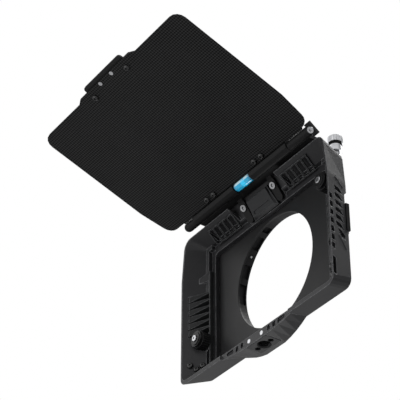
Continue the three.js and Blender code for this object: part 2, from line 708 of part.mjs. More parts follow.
// Hollow in the top wall behind each slotted frame
function topPockets() {
  const roof = (y) => RIM_TOP - (HOOD_TOP_TAPER * (y - RIM_Y)) / HOOD_DEPTH - TOP_POCKET_SKIN;
  const profile = [[TOP_POCKET_FRONT, LEDGE_TOP], [TOP_POCKET_REAR, LEDGE_TOP],
    [TOP_POCKET_REAR, roof(TOP_POCKET_REAR)], [TOP_POCKET_FRONT, roof(TOP_POCKET_FRONT)]];
  const inner = TOP_SLOT_FIRST_X - TOP_SLOT_WIDTH / 2;
  const outer = inner + (TOP_SLOT_COUNT - 1) * TOP_SLOT_PITCH + TOP_SLOT_WIDTH;
  return [-1, 1].map((side) => alongX(profile, ...[side * inner, side * outer].sort((a, b) => a - b)));
}

function scoop(side) {
  const ends = [side * (outerHalfAt(VENT_SLOT_REAR) - SCOOP_DEPTH), side * (RIM_HALF_WIDTH + OVERRUN)];
  return alongX(SCOOP_OUTLINE, ...ends.sort((a, b) => a - b));
}

// Ramp that ends the louvre's rail on the sloped wall
function gusset(side) {
  const outer = FLOOR_HALF_WIDTH + GUSSET_REACH;
  const slopeY = (x) => RIM_Y + ((RIM_HALF_WIDTH - RIM_LAND - x) * (LEDGE_Y - RIM_Y)) /
    (RIM_HALF_WIDTH - RIM_LAND - LEDGE_HALF_WIDTH);
  const outline = [[side * FLOOR_HALF_WIDTH, LEDGE_Y - SEAT_GAP], [side * outer, slopeY(outer) - FUSE],
    [side * outer, LEDGE_Y + FUSE], [side * FLOOR_HALF_WIDTH, LEDGE_Y + FUSE]];
  const tip = RAIL_TOP - GUSSET_DROP;
  const block = alongZ(outline, RAIL_TOP - GUSSET_FOOT - OVERRUN, RAIL_TOP);
  const profile = [[side * (FLOOR_HALF_WIDTH - OVERRUN), RAIL_TOP],
    [side * (FLOOR_HALF_WIDTH - OVERRUN), RAIL_TOP - GUSSET_FOOT],
    [side * (outer + OVERRUN), tip - GUSSET_TIP], [side * (outer + OVERRUN), tip]];
  return block.intersect(alongY(profile, RIM_Y, 0));
}

// Point on the bracket's face: down the face from the screws and out from it
function onFace(down, out) {
  return [FACE_Y - down * Math.cos(FACE_TILT) - out * Math.sin(FACE_TILT),
    FACE_Z - down * Math.sin(FACE_TILT) + out * Math.cos(FACE_TILT)];
}

// Distance down the face at which the seat's front plane reaches a depth
function seatDownAt(y) {
  const back = -ARM_THICKNESS - SEAT_GAP;
  return (FACE_Y - back * Math.sin(FACE_TILT) - y) / Math.cos(FACE_TILT);
}

function bracketSeat() {
  const back = -ARM_THICKNESS - SEAT_GAP;
  const upper = (FACE_Z + back * Math.cos(FACE_TILT) - SEAT_TOP) / Math.sin(FACE_TILT);
  const crest = [[SEAT_REAR, LEDGE_TOP], [SEAT_REAR, RIM_TOP], [FACE_Y + HOOD_DEPTH / 2, SEAT_TOP]];
  const wingOutline = [onFace(upper, back), onFace(seatDownAt(LEDGE_Y), back), [LEDGE_Y, LEDGE_TOP],
    ...crest];
  const wings = [-1, 1].map((side) => {
    const ends = [side * (SEAT_HALF_WIDTH - FUSE), side * (NOTCH_HALF_WIDTH + SEAT_WING)];
    return alongX(wingOutline, ...ends.sort((a, b) => a - b));
  });
  return join(alongX([onFace(upper, back), onFace(COVER_DOWN, back), ...crest], -SEAT_HALF_WIDTH,
    SEAT_HALF_WIDTH),
    ...wings);
}

function bracketRoom() {
  const back = -ARM_THICKNESS - SEAT_GAP;
  const room = (foot, half) => alongX([onFace(foot, back), onFace(foot, HOOD_DEPTH),
    onFace(-HOOD_DEPTH, HOOD_DEPTH),
    onFace(-HOOD_DEPTH, back)], -half, half);
  const notch = alongX(box(RIM_Y - OVERRUN, NOTCH_REAR, LEDGE_TOP, SEAT_TOP), -NOTCH_HALF_WIDTH,
    NOTCH_HALF_WIDTH);
  return [room(COVER_DOWN + SEAT_GAP, SEAT_HALF_WIDTH + SEAT_GAP),
    room(seatDownAt(LEDGE_Y), NOTCH_HALF_WIDTH), notch];
}

function magnetPlaces() {
  return [-LIP_MAGNET_X, LIP_MAGNET_X];
}

function lockLug() {
  return alongZ(LOCK_LUG_OUTLINE.map(([x, y]) => [LOCK_X + x, y]), LUG_BASE, LUG_TOP);
}

// Catch at the left that holds the back plate's edge, opposite the latch
function plateCatch() {
  const rear = PLATE_THICKNESS + SEAT_GAP + LATCH_HOOK_THICKNESS;
  const outline = [[-CATCH_OUTER, -FUSE], [-PLATE_HALF_WIDTH - SEAT_GAP, -FUSE],
    [-PLATE_HALF_WIDTH - SEAT_GAP, PLATE_THICKNESS + SEAT_GAP],
      [-LATCH_HOOK_TIP, PLATE_THICKNESS + SEAT_GAP],
    [-LATCH_HOOK_TIP, rear], [-CATCH_OUTER, rear]];
  return alongZ(outline, -CATCH_HALF_HEIGHT, CATCH_HALF_HEIGHT);
}

function knobPlaces() {
  return [[-KNOB_X, -KNOB_Z], [KNOB_X, KNOB_Z]];
}

function cornerScrews(side, headRadius, headHeight, shankRadius, shankLength) {
  const wallTurn = Math.atan2(LEDGE_Y - RIM_Y, RIM_HALF_WIDTH - RIM_LAND - LEDGE_HALF_WIDTH);
  return CORNER_SCREW_PLACES.map(([y, z]) =>
    moved(buttonScrew(headRadius, headHeight, shankRadius, shankLength),
      at(side * (innerHalfAt(y) - SEAT_GAP), y - SEAT_GAP, z, 0, side * (Math.PI - wallTurn))));
}

function cornerScrewHoles(side) {
  const wallTurn = Math.atan2(LEDGE_Y - RIM_Y, RIM_HALF_WIDTH - RIM_LAND - LEDGE_HALF_WIDTH);
  return CORNER_SCREW_PLACES.map(([y, z]) =>
    moved(alongY(circle(CORNER_SHANK_RADIUS + SEAT_GAP, SMALL_STEPS), -CORNER_SHANK_LENGTH - SEAT_GAP,
      OVERRUN),
      at(side * (innerHalfAt(y) - SEAT_GAP), y - SEAT_GAP, z, 0, side * (Math.PI - wallTurn))));
}

function padRoom() {
  const gap = SEAT_GAP;
  const flange = alongZ(roundedBox(-PAD_HALF_WIDTH - gap, PAD_HALF_WIDTH + gap, PAD_FRONT - gap,
    PAD_REAR + gap, PAD_CORNER),
    PAD_Z - OVERRUN, PAD_Z + PAD_THICKNESS + gap);
  const block = alongZ(box(-PAD_HALF_WIDTH - gap, PAD_HALF_WIDTH + gap, PAD_FRONT + PAD_BLOCK_INSET - gap,
    PAD_REAR - PAD_BLOCK_INSET + gap), PAD_Z, PAD_Z + PAD_BLOCK_HEIGHT + gap);
  return [flange, block];
}

function hood() {
  const shell = join(loft(outsideAt(RIM_Y), outsideAt(0), RIM_Y, 0), bulge());
  const mouth = loft(insideAt(RIM_Y - OVERRUN), insideAt(LEDGE_Y), RIM_Y - OVERRUN, LEDGE_Y);
  const floorOutline = [[-FLOOR_HALF_WIDTH, -FLOOR_HALF_HEIGHT], [FLOOR_HALF_WIDTH, -FLOOR_HALF_HEIGHT],
    [FLOOR_HALF_WIDTH, FLOOR_HALF_HEIGHT], [FLOOR_STRIP_HALF, FLOOR_HALF_HEIGHT],
      [FLOOR_STRIP_HALF, LEDGE_TOP],
    [-FLOOR_STRIP_HALF, LEDGE_TOP], [-FLOOR_STRIP_HALF, FLOOR_HALF_HEIGHT],
      [-FLOOR_HALF_WIDTH, FLOOR_HALF_HEIGHT]];
  const floor = alongY(floorOutline, LEDGE_Y - OVERRUN, FLOOR_Y);
  const recess = alongY(roundedBox(-RECESS_HALF_WIDTH, RECESS_HALF_WIDTH, -RECESS_HALF_HEIGHT,
    RECESS_HALF_HEIGHT,
    FILTER_CORNER), FLOOR_Y - OVERRUN, OVERRUN);
  const rebate = alongY(roundedBox(-PLATE_HALF_WIDTH - SEAT_GAP, PLATE_HALF_WIDTH + SEAT_GAP,
    -PLATE_HALF_HEIGHT - SEAT_GAP, PLATE_HALF_HEIGHT + SEAT_GAP, PLATE_CORNER), -SEAT_GAP, OVERRUN);
  const lipStep = alongY(box(-LIP_HALF_WIDTH, LIP_HALF_WIDTH, PAD_Z - OVERRUN, LEDGE_BOTTOM),
    RIM_Y - OVERRUN, LIP_Y);
  const magnets = magnetPlaces().map((x) => alongY(circle(LIP_MAGNET_RADIUS + SEAT_GAP, SMALL_STEPS, x,
    LIP_MAGNET_Z),
    LIP_Y - OVERRUN, LIP_Y + LIP_MAGNET_THICKNESS + SEAT_GAP));
  const knobPockets = knobPlaces().flatMap(([x, z]) => [
    alongY(circle(KNOB_RADIUS + KNOB_POCKET_GAP, ROUND_STEPS, x, z), RIM_Y - OVERRUN, LEDGE_Y),
    alongY(circle(KNOB_STUD_RADIUS + RUN_GAP, SMALL_STEPS, x, z), LEDGE_Y - OVERRUN,
      KNOB_STUD_END + RUN_GAP)]);
  const screwHoles = [-ARM_X, ARM_X].map((x) => moved(
    alongZ(circle(BRACKET_SCREW_RADIUS + SEAT_GAP, SMALL_STEPS), -BRACKET_SCREW_LENGTH - SEAT_GAP, 0),
    at(x, FACE_Y, FACE_Z, FACE_TILT)));
  const latchNotch = alongZ(box(LATCH_NOTCH_X, RIM_HALF_WIDTH, -LATCH_NOTCH_DEPTH, OVERRUN),
    LATCH_BOTTOM - SEAT_GAP, LATCH_NOTCH_TOP);
  const latchHole = alongY(circle(LATCH_SCREW_RADIUS + SEAT_GAP, SMALL_STEPS, LATCH_SCREW_X, LATCH_SCREW_Z),
    -LATCH_SCREW_GRIP - SEAT_GAP, OVERRUN);
  const lockHole = alongZ(circle(LOCK_SHAFT_RADIUS + RUN_GAP, SMALL_STEPS, LOCK_X, LOCK_Y),
    PLATE_HALF_HEIGHT - OVERRUN, LUG_TOP + OVERRUN);
  const body = join(cut(shell, mouth, floor, recess, ...bracketRoom()), bracketSeat(), gusset(-1),
    gusset(1), lockLug(),
    plateCatch());
  return cut(body, rebate, lipStep, ...lipPockets(), ...magnets, ...padRoom(), ...sideVents(-1),
    ...sideVents(1), ...topPockets(),
    ...knobPockets, ...screwHoles, ...cornerScrewHoles(-1), ...cornerScrewHoles(1), latchNotch, latchHole,
      lockHole);
}

// Louvre of one side: the rail with its tilted fins
function sideLouvre(side) {
  const railOuter = RAIL_X + RAIL_WIDTH / 2;
  const railEdges = [side * (RAIL_X - RAIL_WIDTH / 2), side * railOuter].sort((a, b) => a - b);
  const rail = alongZ(box(...railEdges, LEDGE_Y, FLOOR_Y - SEAT_GAP), RAIL_BOTTOM, RAIL_TOP);
  const tip = innerHalfAt(FIN_TIP_Y) - SEAT_GAP;
  const back = outerHalfAt(VENT_FLOOR) - VENT_SKIN - 2 * SEAT_GAP;
  const outline = [[side * (railOuter - FUSE), LEDGE_Y], [side * tip, FIN_TIP_Y],
    [side * back, VENT_FLOOR - SEAT_GAP], [side * (railOuter - FUSE), VENT_FLOOR - SEAT_GAP]];
  const plan = alongZ(outline, RAIL_BOTTOM, RAIL_TOP);
  const fins = Array.from({ length: FIN_COUNT }, (_, i) => {
    const top = FIN_FIRST_Z - i * FIN_PITCH;
    const wedge = alongY([[side * (railOuter - FUSE), top], [side * tip, top],
      [side * tip, top - FIN_TIP_THICKNESS], [side * (railOuter - FUSE), top - FIN_THICKNESS]], RIM_Y, 0);
    return leaned(plan.intersect(wedge), side);
  });
  return join(rail, ...fins);
}

// Slotted frame on one half of the top inner wall, drawn flat and laid on the slope
function topLouvre(side) {
  const cosine = Math.cos(TOP_SLOPE);
  const length = (TOP_FRAME_REAR - TOP_FRAME_FRONT) / cosine;
  const across = (x, down) => side * x + TOP_SLOT_SPLAY * (0.5 - down / length);
  const sheared = (x0, x1, d0, d1) => [[across(x0, d0), -d0], [across(x1, d0), -d0], [across(x1, d1), -d1],
    [across(x0, d1), -d1]];
  const inner = TOP_SLOT_FIRST_X - TOP_SLOT_WIDTH / 2;
  const outer = inner + (TOP_SLOT_COUNT - 1) * TOP_SLOT_PITCH + TOP_SLOT_WIDTH;
  const frame = alongZ(sheared(inner - TOP_FRAME_BORDER, outer + TOP_FRAME_BORDER, 0, length), 0,
    TOP_FRAME_HEIGHT);
  const slots = Array.from({ length: TOP_SLOT_COUNT }, (_, i) => {
    const x = inner + i * TOP_SLOT_PITCH;
    return alongZ(sheared(x, x + TOP_SLOT_WIDTH, TOP_FRAME_BORDER, length - TOP_FRAME_BORDER), -OVERRUN,
      TOP_FRAME_HEIGHT + OVERRUN);
  });
  const height = innerTopAt(TOP_FRAME_FRONT) - SEAT_GAP / cosine;
  return moved(cut(frame, ...slots), at(0, TOP_FRAME_FRONT, height, Math.PI - TOP_SLOPE));
}

function backPlate() {
  const rear = PLATE_THICKNESS + OVERRUN;
  const plate = alongY(roundedBox(-PLATE_HALF_WIDTH, PLATE_HALF_WIDTH, -PLATE_HALF_HEIGHT,
    PLATE_HALF_HEIGHT,
    PLATE_CORNER), 0, PLATE_THICKNESS);
  const opening = alongY(circle(LENS_RADIUS, BORE_STEPS), -OVERRUN, rear);
  const relief = alongY(circle(RING_SPIGOT_RADIUS + SEAT_GAP, BORE_STEPS), LENS_LIP, rear);
  const screwHoles = ringScrewPlaces().map(([x, z]) =>
    alongY(circle(RING_SCREW_RADIUS + SEAT_GAP, SMALL_STEPS, x, z),
    PLATE_THICKNESS - RING_SCREW_GRIP - SEAT_GAP, rear));
  const lockNotch = alongY(box(LOCK_X - LOCK_SHAFT_RADIUS - RUN_GAP, LOCK_X + LOCK_SHAFT_RADIUS + RUN_GAP,
    LOCK_SHAFT_END - RUN_GAP, PLATE_HALF_HEIGHT + OVERRUN), -OVERRUN, rear);
  const releaseNotch = alongY(box(LATCH_HOOK_TIP - SEAT_GAP, PLATE_HALF_WIDTH + OVERRUN,
    LATCH_BOTTOM + LATCH_TRAVEL - SEAT_GAP, LATCH_HOOK_TOP + LATCH_TRAVEL + SEAT_GAP), -OVERRUN, rear);
  return cut(plate, opening, relief, ...screwHoles, lockNotch, releaseNotch);
}

function ringScrewPlaces() {
  const reach = (RING_BORE_RADIUS + RING_NOTCH_DEPTH + RING_OUTER_RADIUS) / 2;
  return Array.from({ length: RING_SCREW_COUNT }, (_, i) => {
    const angle = RING_SCREW_FIRST + (2 * Math.PI * i) / RING_SCREW_COUNT;
    return [reach * Math.cos(angle), reach * Math.sin(angle)];
  });
}

function sector(inner, outer, middleDeg, widthDeg) {
  const arc = (radius, share) => {
    const angle = THREE.MathUtils.degToRad(middleDeg + widthDeg * share);
    return [radius * Math.cos(angle), radius * Math.sin(angle)];
  };
  const shares = [-0.5, 0, 0.5];
  return [...shares.map((share) => arc(inner, share)),
    ...shares.reverse().map((share) => arc(outer, share))];
}

function lensRing() {
  const front = PLATE_THICKNESS + SEAT_GAP;
  const body = join(alongY(circle(RING_OUTER_RADIUS, BORE_STEPS), front, RING_REAR),
    alongY(circle(RING_SPIGOT_RADIUS, BORE_STEPS), RING_SPIGOT_FRONT, front + FUSE));
  const through = alongY(circle(RING_BORE_RADIUS, BORE_STEPS), RING_SPIGOT_FRONT - OVERRUN,
    RING_REAR + OVERRUN);
  const notches = RING_NOTCHES_DEG.map(([middle, width]) => alongY(
    sector(RING_BORE_RADIUS - OVERRUN, RING_BORE_RADIUS + RING_NOTCH_DEPTH, middle, width),
    RING_SPIGOT_FRONT - OVERRUN, RING_NOTCH_REAR));
  const screwHoles = ringScrewPlaces().flatMap(([x, z]) => [
    alongY(circle(RING_SCREW_RADIUS + SEAT_GAP, SMALL_STEPS, x, z), front - OVERRUN, RING_REAR),
    alongY(circle(RING_SCREW_HEAD + SEAT_GAP, SMALL_STEPS, x, z), RING_SCREW_SEAT, RING_REAR + OVERRUN)]);
  const bore = moved(alongY(circle(DETENT_RADIUS + RUN_GAP, SMALL_STEPS), RING_BORE_RADIUS - 2 * OVERRUN,
    RING_OUTER_RADIUS + OVERRUN), detentPose());
  return cut(body, through, ...notches, ...screwHoles, bore);
}

function ringScrews() {
  return ringScrewPlaces().map(([x, z]) => moved(
    buttonScrew(RING_SCREW_HEAD, RING_SCREW_HEAD_HEIGHT, RING_SCREW_RADIUS,
      RING_SCREW_SEAT + SEAT_GAP - PLATE_THICKNESS + RING_SCREW_GRIP),
    at(x, RING_SCREW_SEAT + SEAT_GAP, z)));
}

// Turns the y axis to the radius on which the plunger lies
function detentPose() {
  const outward = new THREE.Vector3(Math.cos(DETENT_ANGLE), 0, Math.sin(DETENT_ANGLE));
  const turn = new THREE.Quaternion().setFromUnitVectors(new THREE.Vector3(0, 1, 0), outward);
  return new THREE.Matrix4().compose(new THREE.Vector3(0, DETENT_Y, 0), turn, new THREE.Vector3(1, 1, 1));
}

function detentPlunger() {
  const tip = RING_BORE_RADIUS - DETENT_PROUD;
  const domeSteps = 4;
  const dome = Array.from({ length: domeSteps + 1 }, (_, i) => {
    const angle = (Math.PI * i) / (2 * domeSteps);
    return [DETENT_RADIUS * Math.sin(angle), tip + DETENT_RADIUS * (1 - Math.cos(angle))];
  });
  return moved(solidOf(turned([...dome, [DETENT_RADIUS, tip + DETENT_LENGTH], [0, tip + DETENT_LENGTH]],
    SMALL_STEPS)),
    detentPose());
}

function mountPad() {
  const flange = alongZ(roundedBox(-PAD_HALF_WIDTH, PAD_HALF_WIDTH, PAD_FRONT, PAD_REAR, PAD_CORNER), PAD_Z,
    PAD_Z + PAD_THICKNESS);
  const block = alongZ(box(-PAD_HALF_WIDTH, PAD_HALF_WIDTH, PAD_FRONT + PAD_BLOCK_INSET,
    PAD_REAR - PAD_BLOCK_INSET),
    PAD_Z + PAD_THICKNESS - FUSE, PAD_Z + PAD_BLOCK_HEIGHT);
  const thread = alongZ(circle(THREAD_RADIUS, ROUND_STEPS, 0, THREAD_Y), PAD_Z - OVERRUN,
    PAD_Z + PAD_BLOCK_HEIGHT + OVERRUN);
  const mouth = moved(solidOf(turned([[0, 0], [THREAD_MOUTH_RADIUS, 0], [THREAD_RADIUS, THREAD_MOUTH_DEPTH],
    [0, THREAD_MOUTH_DEPTH]])), at(0, THREAD_Y, PAD_Z, Math.PI / 2));
  const pins = [-PIN_HOLE_X, PIN_HOLE_X].map((x) =>
    alongZ(circle(PIN_HOLE_RADIUS, SMALL_STEPS, x, THREAD_Y),
    PAD_Z - OVERRUN, PAD_Z + PIN_HOLE_DEPTH));
  return cut(join(flange, block), thread, mouth, ...pins);
}

function lipMagnets() {
  return magnetPlaces().map((x) => alongY(circle(LIP_MAGNET_RADIUS, SMALL_STEPS, x, LIP_MAGNET_Z), LIP_Y,
    LIP_Y + LIP_MAGNET_THICKNESS));
}

// Retaining knob parts about the y axis through the knob's place
function knobBody(x, z) {
  const body = join(alongY(knurl(KNOB_RADIUS, KNOB_TOOTH, KNOB_TEETH, x, z), KNOB_BODY_FRONT,
    LEDGE_Y - RUN_GAP),
    alongY(circle(KNOB_RING_RADIUS, ROUND_STEPS, x, z), KNOB_RING_FRONT, KNOB_BODY_FRONT + FUSE));
  return join(body,
    alongY(circle(KNOB_FACE_RADIUS, ROUND_STEPS, x, z), KNOB_FACE_FRONT, KNOB_RING_FRONT + FUSE),
    alongY(circle(KNOB_STUD_RADIUS, SMALL_STEPS, x, z), LEDGE_Y - RUN_GAP - FUSE, KNOB_STUD_END));
}

// Head of the screw in the middle of a retaining knob
function knobCap(x, z) {
  const rimShare = 0.86;
  const rear = KNOB_FACE_FRONT - SEAT_GAP;
  const bevel = KNOB_CAP_RADIUS * (1 - rimShare);
  const head = moved(solidOf(turned([[0, KNOB_CAP_FRONT], [KNOB_CAP_RADIUS * rimShare, KNOB_CAP_FRONT],
    [KNOB_CAP_RADIUS, KNOB_CAP_FRONT + bevel], [KNOB_CAP_RADIUS, rear], [0, rear]])), at(x, 0, z));
  return cut(head, alongY(circle(KNOB_CAP_SOCKET, 6, x, z), KNOB_CAP_FRONT - OVERRUN,
    KNOB_CAP_FRONT + KNOB_CAP_SOCKET_DEPTH));
}

// Fixed bracket of the flag: the crossbar, the two arms on the face and the hinge barrels
function flagBracket() {
  const crossbar = alongX(box(CROSSBAR_FRONT, CROSSBAR_REAR, CROSSBAR_BOTTOM, CROSSBAR_TOP), CROSSBAR_LEFT,
    CROSSBAR_RIGHT);
  const arms = [-ARM_X, ARM_X].map((x) => moved(alongZ(pill(x, -ARM_DOWN, ARM_UP, ARM_WIDTH),
    -ARM_THICKNESS, 0),
    at(0, FACE_Y, FACE_Z, FACE_TILT)));
  const neckBack = -ARM_THICKNESS + SEAT_GAP;
  const necks = [-ARM_X, ARM_X].map((x) => alongX([onFace(-NECK_FOOT, neckBack),
    onFace(-NECK_FOOT, -NECK_PROUD),
    [CROSSBAR_REAR - NECK_HALF_WIDTH, CROSSBAR_BOTTOM + FUSE], [CROSSBAR_REAR, CROSSBAR_BOTTOM + FUSE]],
  x - NECK_HALF_WIDTH, x + NECK_HALF_WIDTH));
  const barrels = [[BARREL_LEFT_OUTER, BARREL_LEFT_INNER],
    [BARREL_RIGHT_INNER, BARREL_RIGHT_OUTER]].map((span) =>
    alongX(circle(BARREL_RADIUS, ROUND_STEPS, HINGE_Y, HINGE_Z), ...span));
  const knuckles = [[BARREL_LEFT_INNER - KNUCKLE_WIDTH, BARREL_LEFT_INNER - SEAT_GAP],
    [BARREL_RIGHT_INNER + SEAT_GAP, CROSSBAR_RIGHT]].map((span) =>
    alongX(box(HINGE_Y, CROSSBAR_FRONT + FUSE, CROSSBAR_BOTTOM, CROSSBAR_TOP), ...span));
  const bores = [[BARREL_LEFT_OUTER - OVERRUN, BARREL_LEFT_INNER + OVERRUN],
    [BARREL_RIGHT_INNER - OVERRUN, BARREL_RIGHT_OUTER + OVERRUN]].map((span) =>
    alongX(circle(PIN_RADIUS + SEAT_GAP, SMALL_STEPS, HINGE_Y, HINGE_Z), ...span));
  const screwRooms = [-ARM_X, ARM_X].map((x) => moved(join(
    alongZ(circle(BRACKET_SCREW_HEAD + SEAT_GAP, SMALL_STEPS), -BRACKET_SCREW_HEAD_HEIGHT / 2, OVERRUN),
    alongZ(circle(BRACKET_SCREW_RADIUS + SEAT_GAP, SMALL_STEPS), -ARM_THICKNESS - OVERRUN, 0)),
  at(x, FACE_Y, FACE_Z, FACE_TILT)));
  return cut(join(crossbar, ...arms, ...necks, ...barrels, ...knuckles), ...bores, ...screwRooms);
}

function bracketScrews() {
  const floor = -BRACKET_SCREW_HEAD_HEIGHT / 2 + SEAT_GAP;
  const screw = join(alongZ(circle(BRACKET_SCREW_HEAD, SMALL_STEPS), floor,
    floor + BRACKET_SCREW_HEAD_HEIGHT),
    alongZ(circle(BRACKET_SCREW_RADIUS, SMALL_STEPS), -BRACKET_SCREW_LENGTH, floor + FUSE));
  const socketed = cut(screw, alongZ(circle(BRACKET_SOCKET_RADIUS, 6),
    floor + BRACKET_SCREW_HEAD_HEIGHT / 2,
    floor + BRACKET_SCREW_HEAD_HEIGHT + OVERRUN));
  return [-ARM_X, ARM_X].map((x) => moved(socketed, at(x, FACE_Y, FACE_Z, FACE_TILT)));
}

// Bare cover between the arms: a plate, a bevelled panel on it and a pill shaped groove
function bracketCover() {
  const wedge = (footHalf, topHalf, foot, top) => [[-footHalf, foot], [footHalf, foot], [topHalf, top],
    [-topHalf, top]];
  const base = alongZ(wedge(COVER_FOOT_HALF, COVER_TOP_HALF, -COVER_DOWN, COVER_UP), -ARM_THICKNESS, 0);
  const outline = wedge(COVER_FOOT_HALF - COVER_EDGE, COVER_TOP_HALF - COVER_EDGE, COVER_EDGE - COVER_DOWN,
    COVER_UP - COVER_EDGE);
  const inset = wedge(COVER_PANEL_FOOT_HALF, COVER_PANEL_TOP_HALF, 2 * COVER_BEVEL - COVER_DOWN,
    COVER_UP - COVER_BEVEL);
  const panel = solidOf(tapered(outline, inset, COVER_PANEL_HEIGHT + FUSE).translate(0, 0, -FUSE));
  const groove = alongZ(rounded(box(-COVER_GROOVE_HALF_LENGTH, COVER_GROOVE_HALF_LENGTH,
    -COVER_GROOVE_DOWN - COVER_GROOVE_WIDTH / 2, -COVER_GROOVE_DOWN + COVER_GROOVE_WIDTH / 2),
  (COVER_GROOVE_WIDTH / 2) * PILL_SHARE), COVER_PANEL_HEIGHT - COVER_GROOVE_DEPTH,
    COVER_PANEL_HEIGHT + OVERRUN);
  return moved(cut(join(base, panel), groove), at(0, FACE_Y, FACE_Z, FACE_TILT));
}

// Round cap on the left barrel
function barrelCapLeft() {
  const domeShares = [1, 0.9, 0.7, 0.4, 0];
  const dome = domeShares.map((share) => [BARREL_RADIUS * share,
    BARREL_RADIUS * Math.sqrt(1 - share ** 2)]);
  return moved(solidOf(turned([[0, 0], ...dome])), new THREE.Matrix4().makeRotationZ(Math.PI / 2)
    .setPosition(BARREL_LEFT_OUTER - SEAT_GAP, HINGE_Y, HINGE_Z));
}

// Square cap on the right barrel, with a flat for the tension screw
function barrelCapRight() {
  const start = BARREL_RIGHT_OUTER + SEAT_GAP;
  const lug = alongX(roundedBox(-LUG_HALF_LENGTH, LUG_HALF_LENGTH, -LUG_FACE, LUG_DEPTH - LUG_FACE, SEAT_GAP),
    start, start + LUG_THICKNESS);
  const hole = alongZ(circle(TENSION_SHANK_RADIUS + SEAT_GAP, SMALL_STEPS, start + LUG_THICKNESS / 2),
    -LUG_FACE - OVERRUN, -LUG_FACE + TENSION_SHANK_LENGTH + SEAT_GAP);
  return moved(cut(lug, hole), at(0, HINGE_Y, HINGE_Z, LUG_TILT));
}

function tensionScrew() {
  const x = BARREL_RIGHT_OUTER + SEAT_GAP + LUG_THICKNESS / 2;
  const seat = -LUG_FACE - SEAT_GAP;
  const head = alongZ(circle(TENSION_HEAD_RADIUS, SMALL_STEPS, x), seat - TENSION_HEAD_HEIGHT, seat);
  const shank = alongZ(circle(TENSION_SHANK_RADIUS, SMALL_STEPS, x), seat - FUSE,
    seat + TENSION_SHANK_LENGTH);
  const socket = alongZ(circle(TENSION_SOCKET_RADIUS, 6, x), seat - TENSION_HEAD_HEIGHT - OVERRUN,
    seat - TENSION_HEAD_HEIGHT / 2);
  return moved(cut(join(head, shank), socket), at(0, HINGE_Y, HINGE_Z, LUG_TILT));
}

// One hinge pin from inside the moving bar out to the end of its barrel
function hingePin(side, outer) {
  const inner = side * (BAR_HALF_LENGTH - PIN_ENGAGED);
  const [x0, x1] = [inner, outer].sort((a, b) => a - b);
  return alongX(circle(PIN_RADIUS, SMALL_STEPS, HINGE_Y, HINGE_Z), x0, x1);
}

// The moving bar in the flag's frame: x along the hinge, y back along the sheet, z off the sheet
function flagBar() {
  const leafFoot = SHEET_FACE + SHEET_THICKNESS + SEAT_GAP;
  const arcSteps = 10;
  const back = Array.from({ length: arcSteps + 1 }, (_, i) => {
    const angle = Math.PI * (i / arcSteps - 0.5);
    return [BARREL_RADIUS * Math.cos(angle), BARREL_RADIUS * Math.sin(angle)];
  });
  const section = [...back, [-FLAG_NEAR / 2, BAR_CROWN], [-LEAF_REACH, leafFoot + LEAF_THICKNESS],
    [-LEAF_REACH, leafFoot], [-BAR_FRONT, leafFoot], [-BAR_FRONT, BAR_FOOT],
      [-FLAG_NEAR / 2, -BARREL_RADIUS]];
  const room = alongX(circle(VIAL_RADIUS + SEAT_GAP, ROUND_STEPS, -VIAL_REACH, VIAL_HEIGHT),
    VIAL_X - VIAL_HALF_LENGTH - SEAT_GAP, VIAL_X + VIAL_HALF_LENGTH + SEAT_GAP);
  const mouth = alongX(box(-BAR_FRONT, VIAL_RADIUS + SEAT_GAP - VIAL_REACH, -BARREL_RADIUS - OVERRUN,
    VIAL_HEIGHT),
    VIAL_X - VIAL_HALF_LENGTH - SEAT_GAP, VIAL_X + VIAL_HALF_LENGTH + SEAT_GAP);
  const bores = [-1, 1].map((side) => {
    const ends = [side * (BAR_HALF_LENGTH - PIN_ENGAGED - RUN_GAP), side * (BAR_HALF_LENGTH + OVERRUN)];
    return alongX(circle(PIN_RADIUS + RUN_GAP, SMALL_STEPS), ...ends.sort((a, b) => a - b));
  });
  const screwHoles = flagScrewPlaces().map(([x, y]) =>
    alongZ(circle(BUTTON_SHANK_RADIUS + SEAT_GAP, SMALL_STEPS, x, y),
    leafFoot - OVERRUN, leafFoot + LEAF_THICKNESS + OVERRUN));
  return cut(alongX(section, -BAR_HALF_LENGTH, BAR_HALF_LENGTH), room, mouth, ...bores, ...screwHoles);
}

function levelVial() {
  const waist = VIAL_HALF_LENGTH - VIAL_DOME;
  const shoulderShare = 0.8;
  const shoulder = VIAL_RADIUS * shoulderShare;
  const profile = [[0, -VIAL_HALF_LENGTH], [shoulder, -VIAL_HALF_LENGTH + VIAL_DOME * (1 - shoulderShare)],
    [VIAL_RADIUS, -waist], [VIAL_RADIUS, waist],
      [shoulder, VIAL_HALF_LENGTH - VIAL_DOME * (1 - shoulderShare)],
    [0, VIAL_HALF_LENGTH]];
  return moved(solidOf(turned(profile)), new THREE.Matrix4().makeRotationZ(Math.PI / 2)
    .setPosition(VIAL_X, -VIAL_REACH, VIAL_HEIGHT));
}

function flagScrewPlaces() {
  return FLAG_SCREW_X.flatMap((x) => [[-x, -FLAG_NEAR - FLAG_SCREW_INSET],
    [x, -FLAG_NEAR - FLAG_SCREW_INSET]]);
}

function tabScrewPlaces() {
  return [-TAB_SCREW_X, TAB_SCREW_X].map((x) => [x, -FLAG_NEAR - TAB_SCREW_AT]);
}

function tabMagnetPlaces() {
  return [-TAB_MAGNET_X, TAB_MAGNET_X].map((x) => [x, -FLAG_NEAR - TAB_MAGNET_AT]);
}

function sheetScrews(places) {
  return places.map(([x, y]) => moved(
    buttonScrew(BUTTON_RADIUS, BUTTON_HEIGHT, BUTTON_SHANK_RADIUS, BUTTON_SHANK_LENGTH),
    at(x, y, SHEET_FACE - SEAT_GAP, -Math.PI / 2)));
}

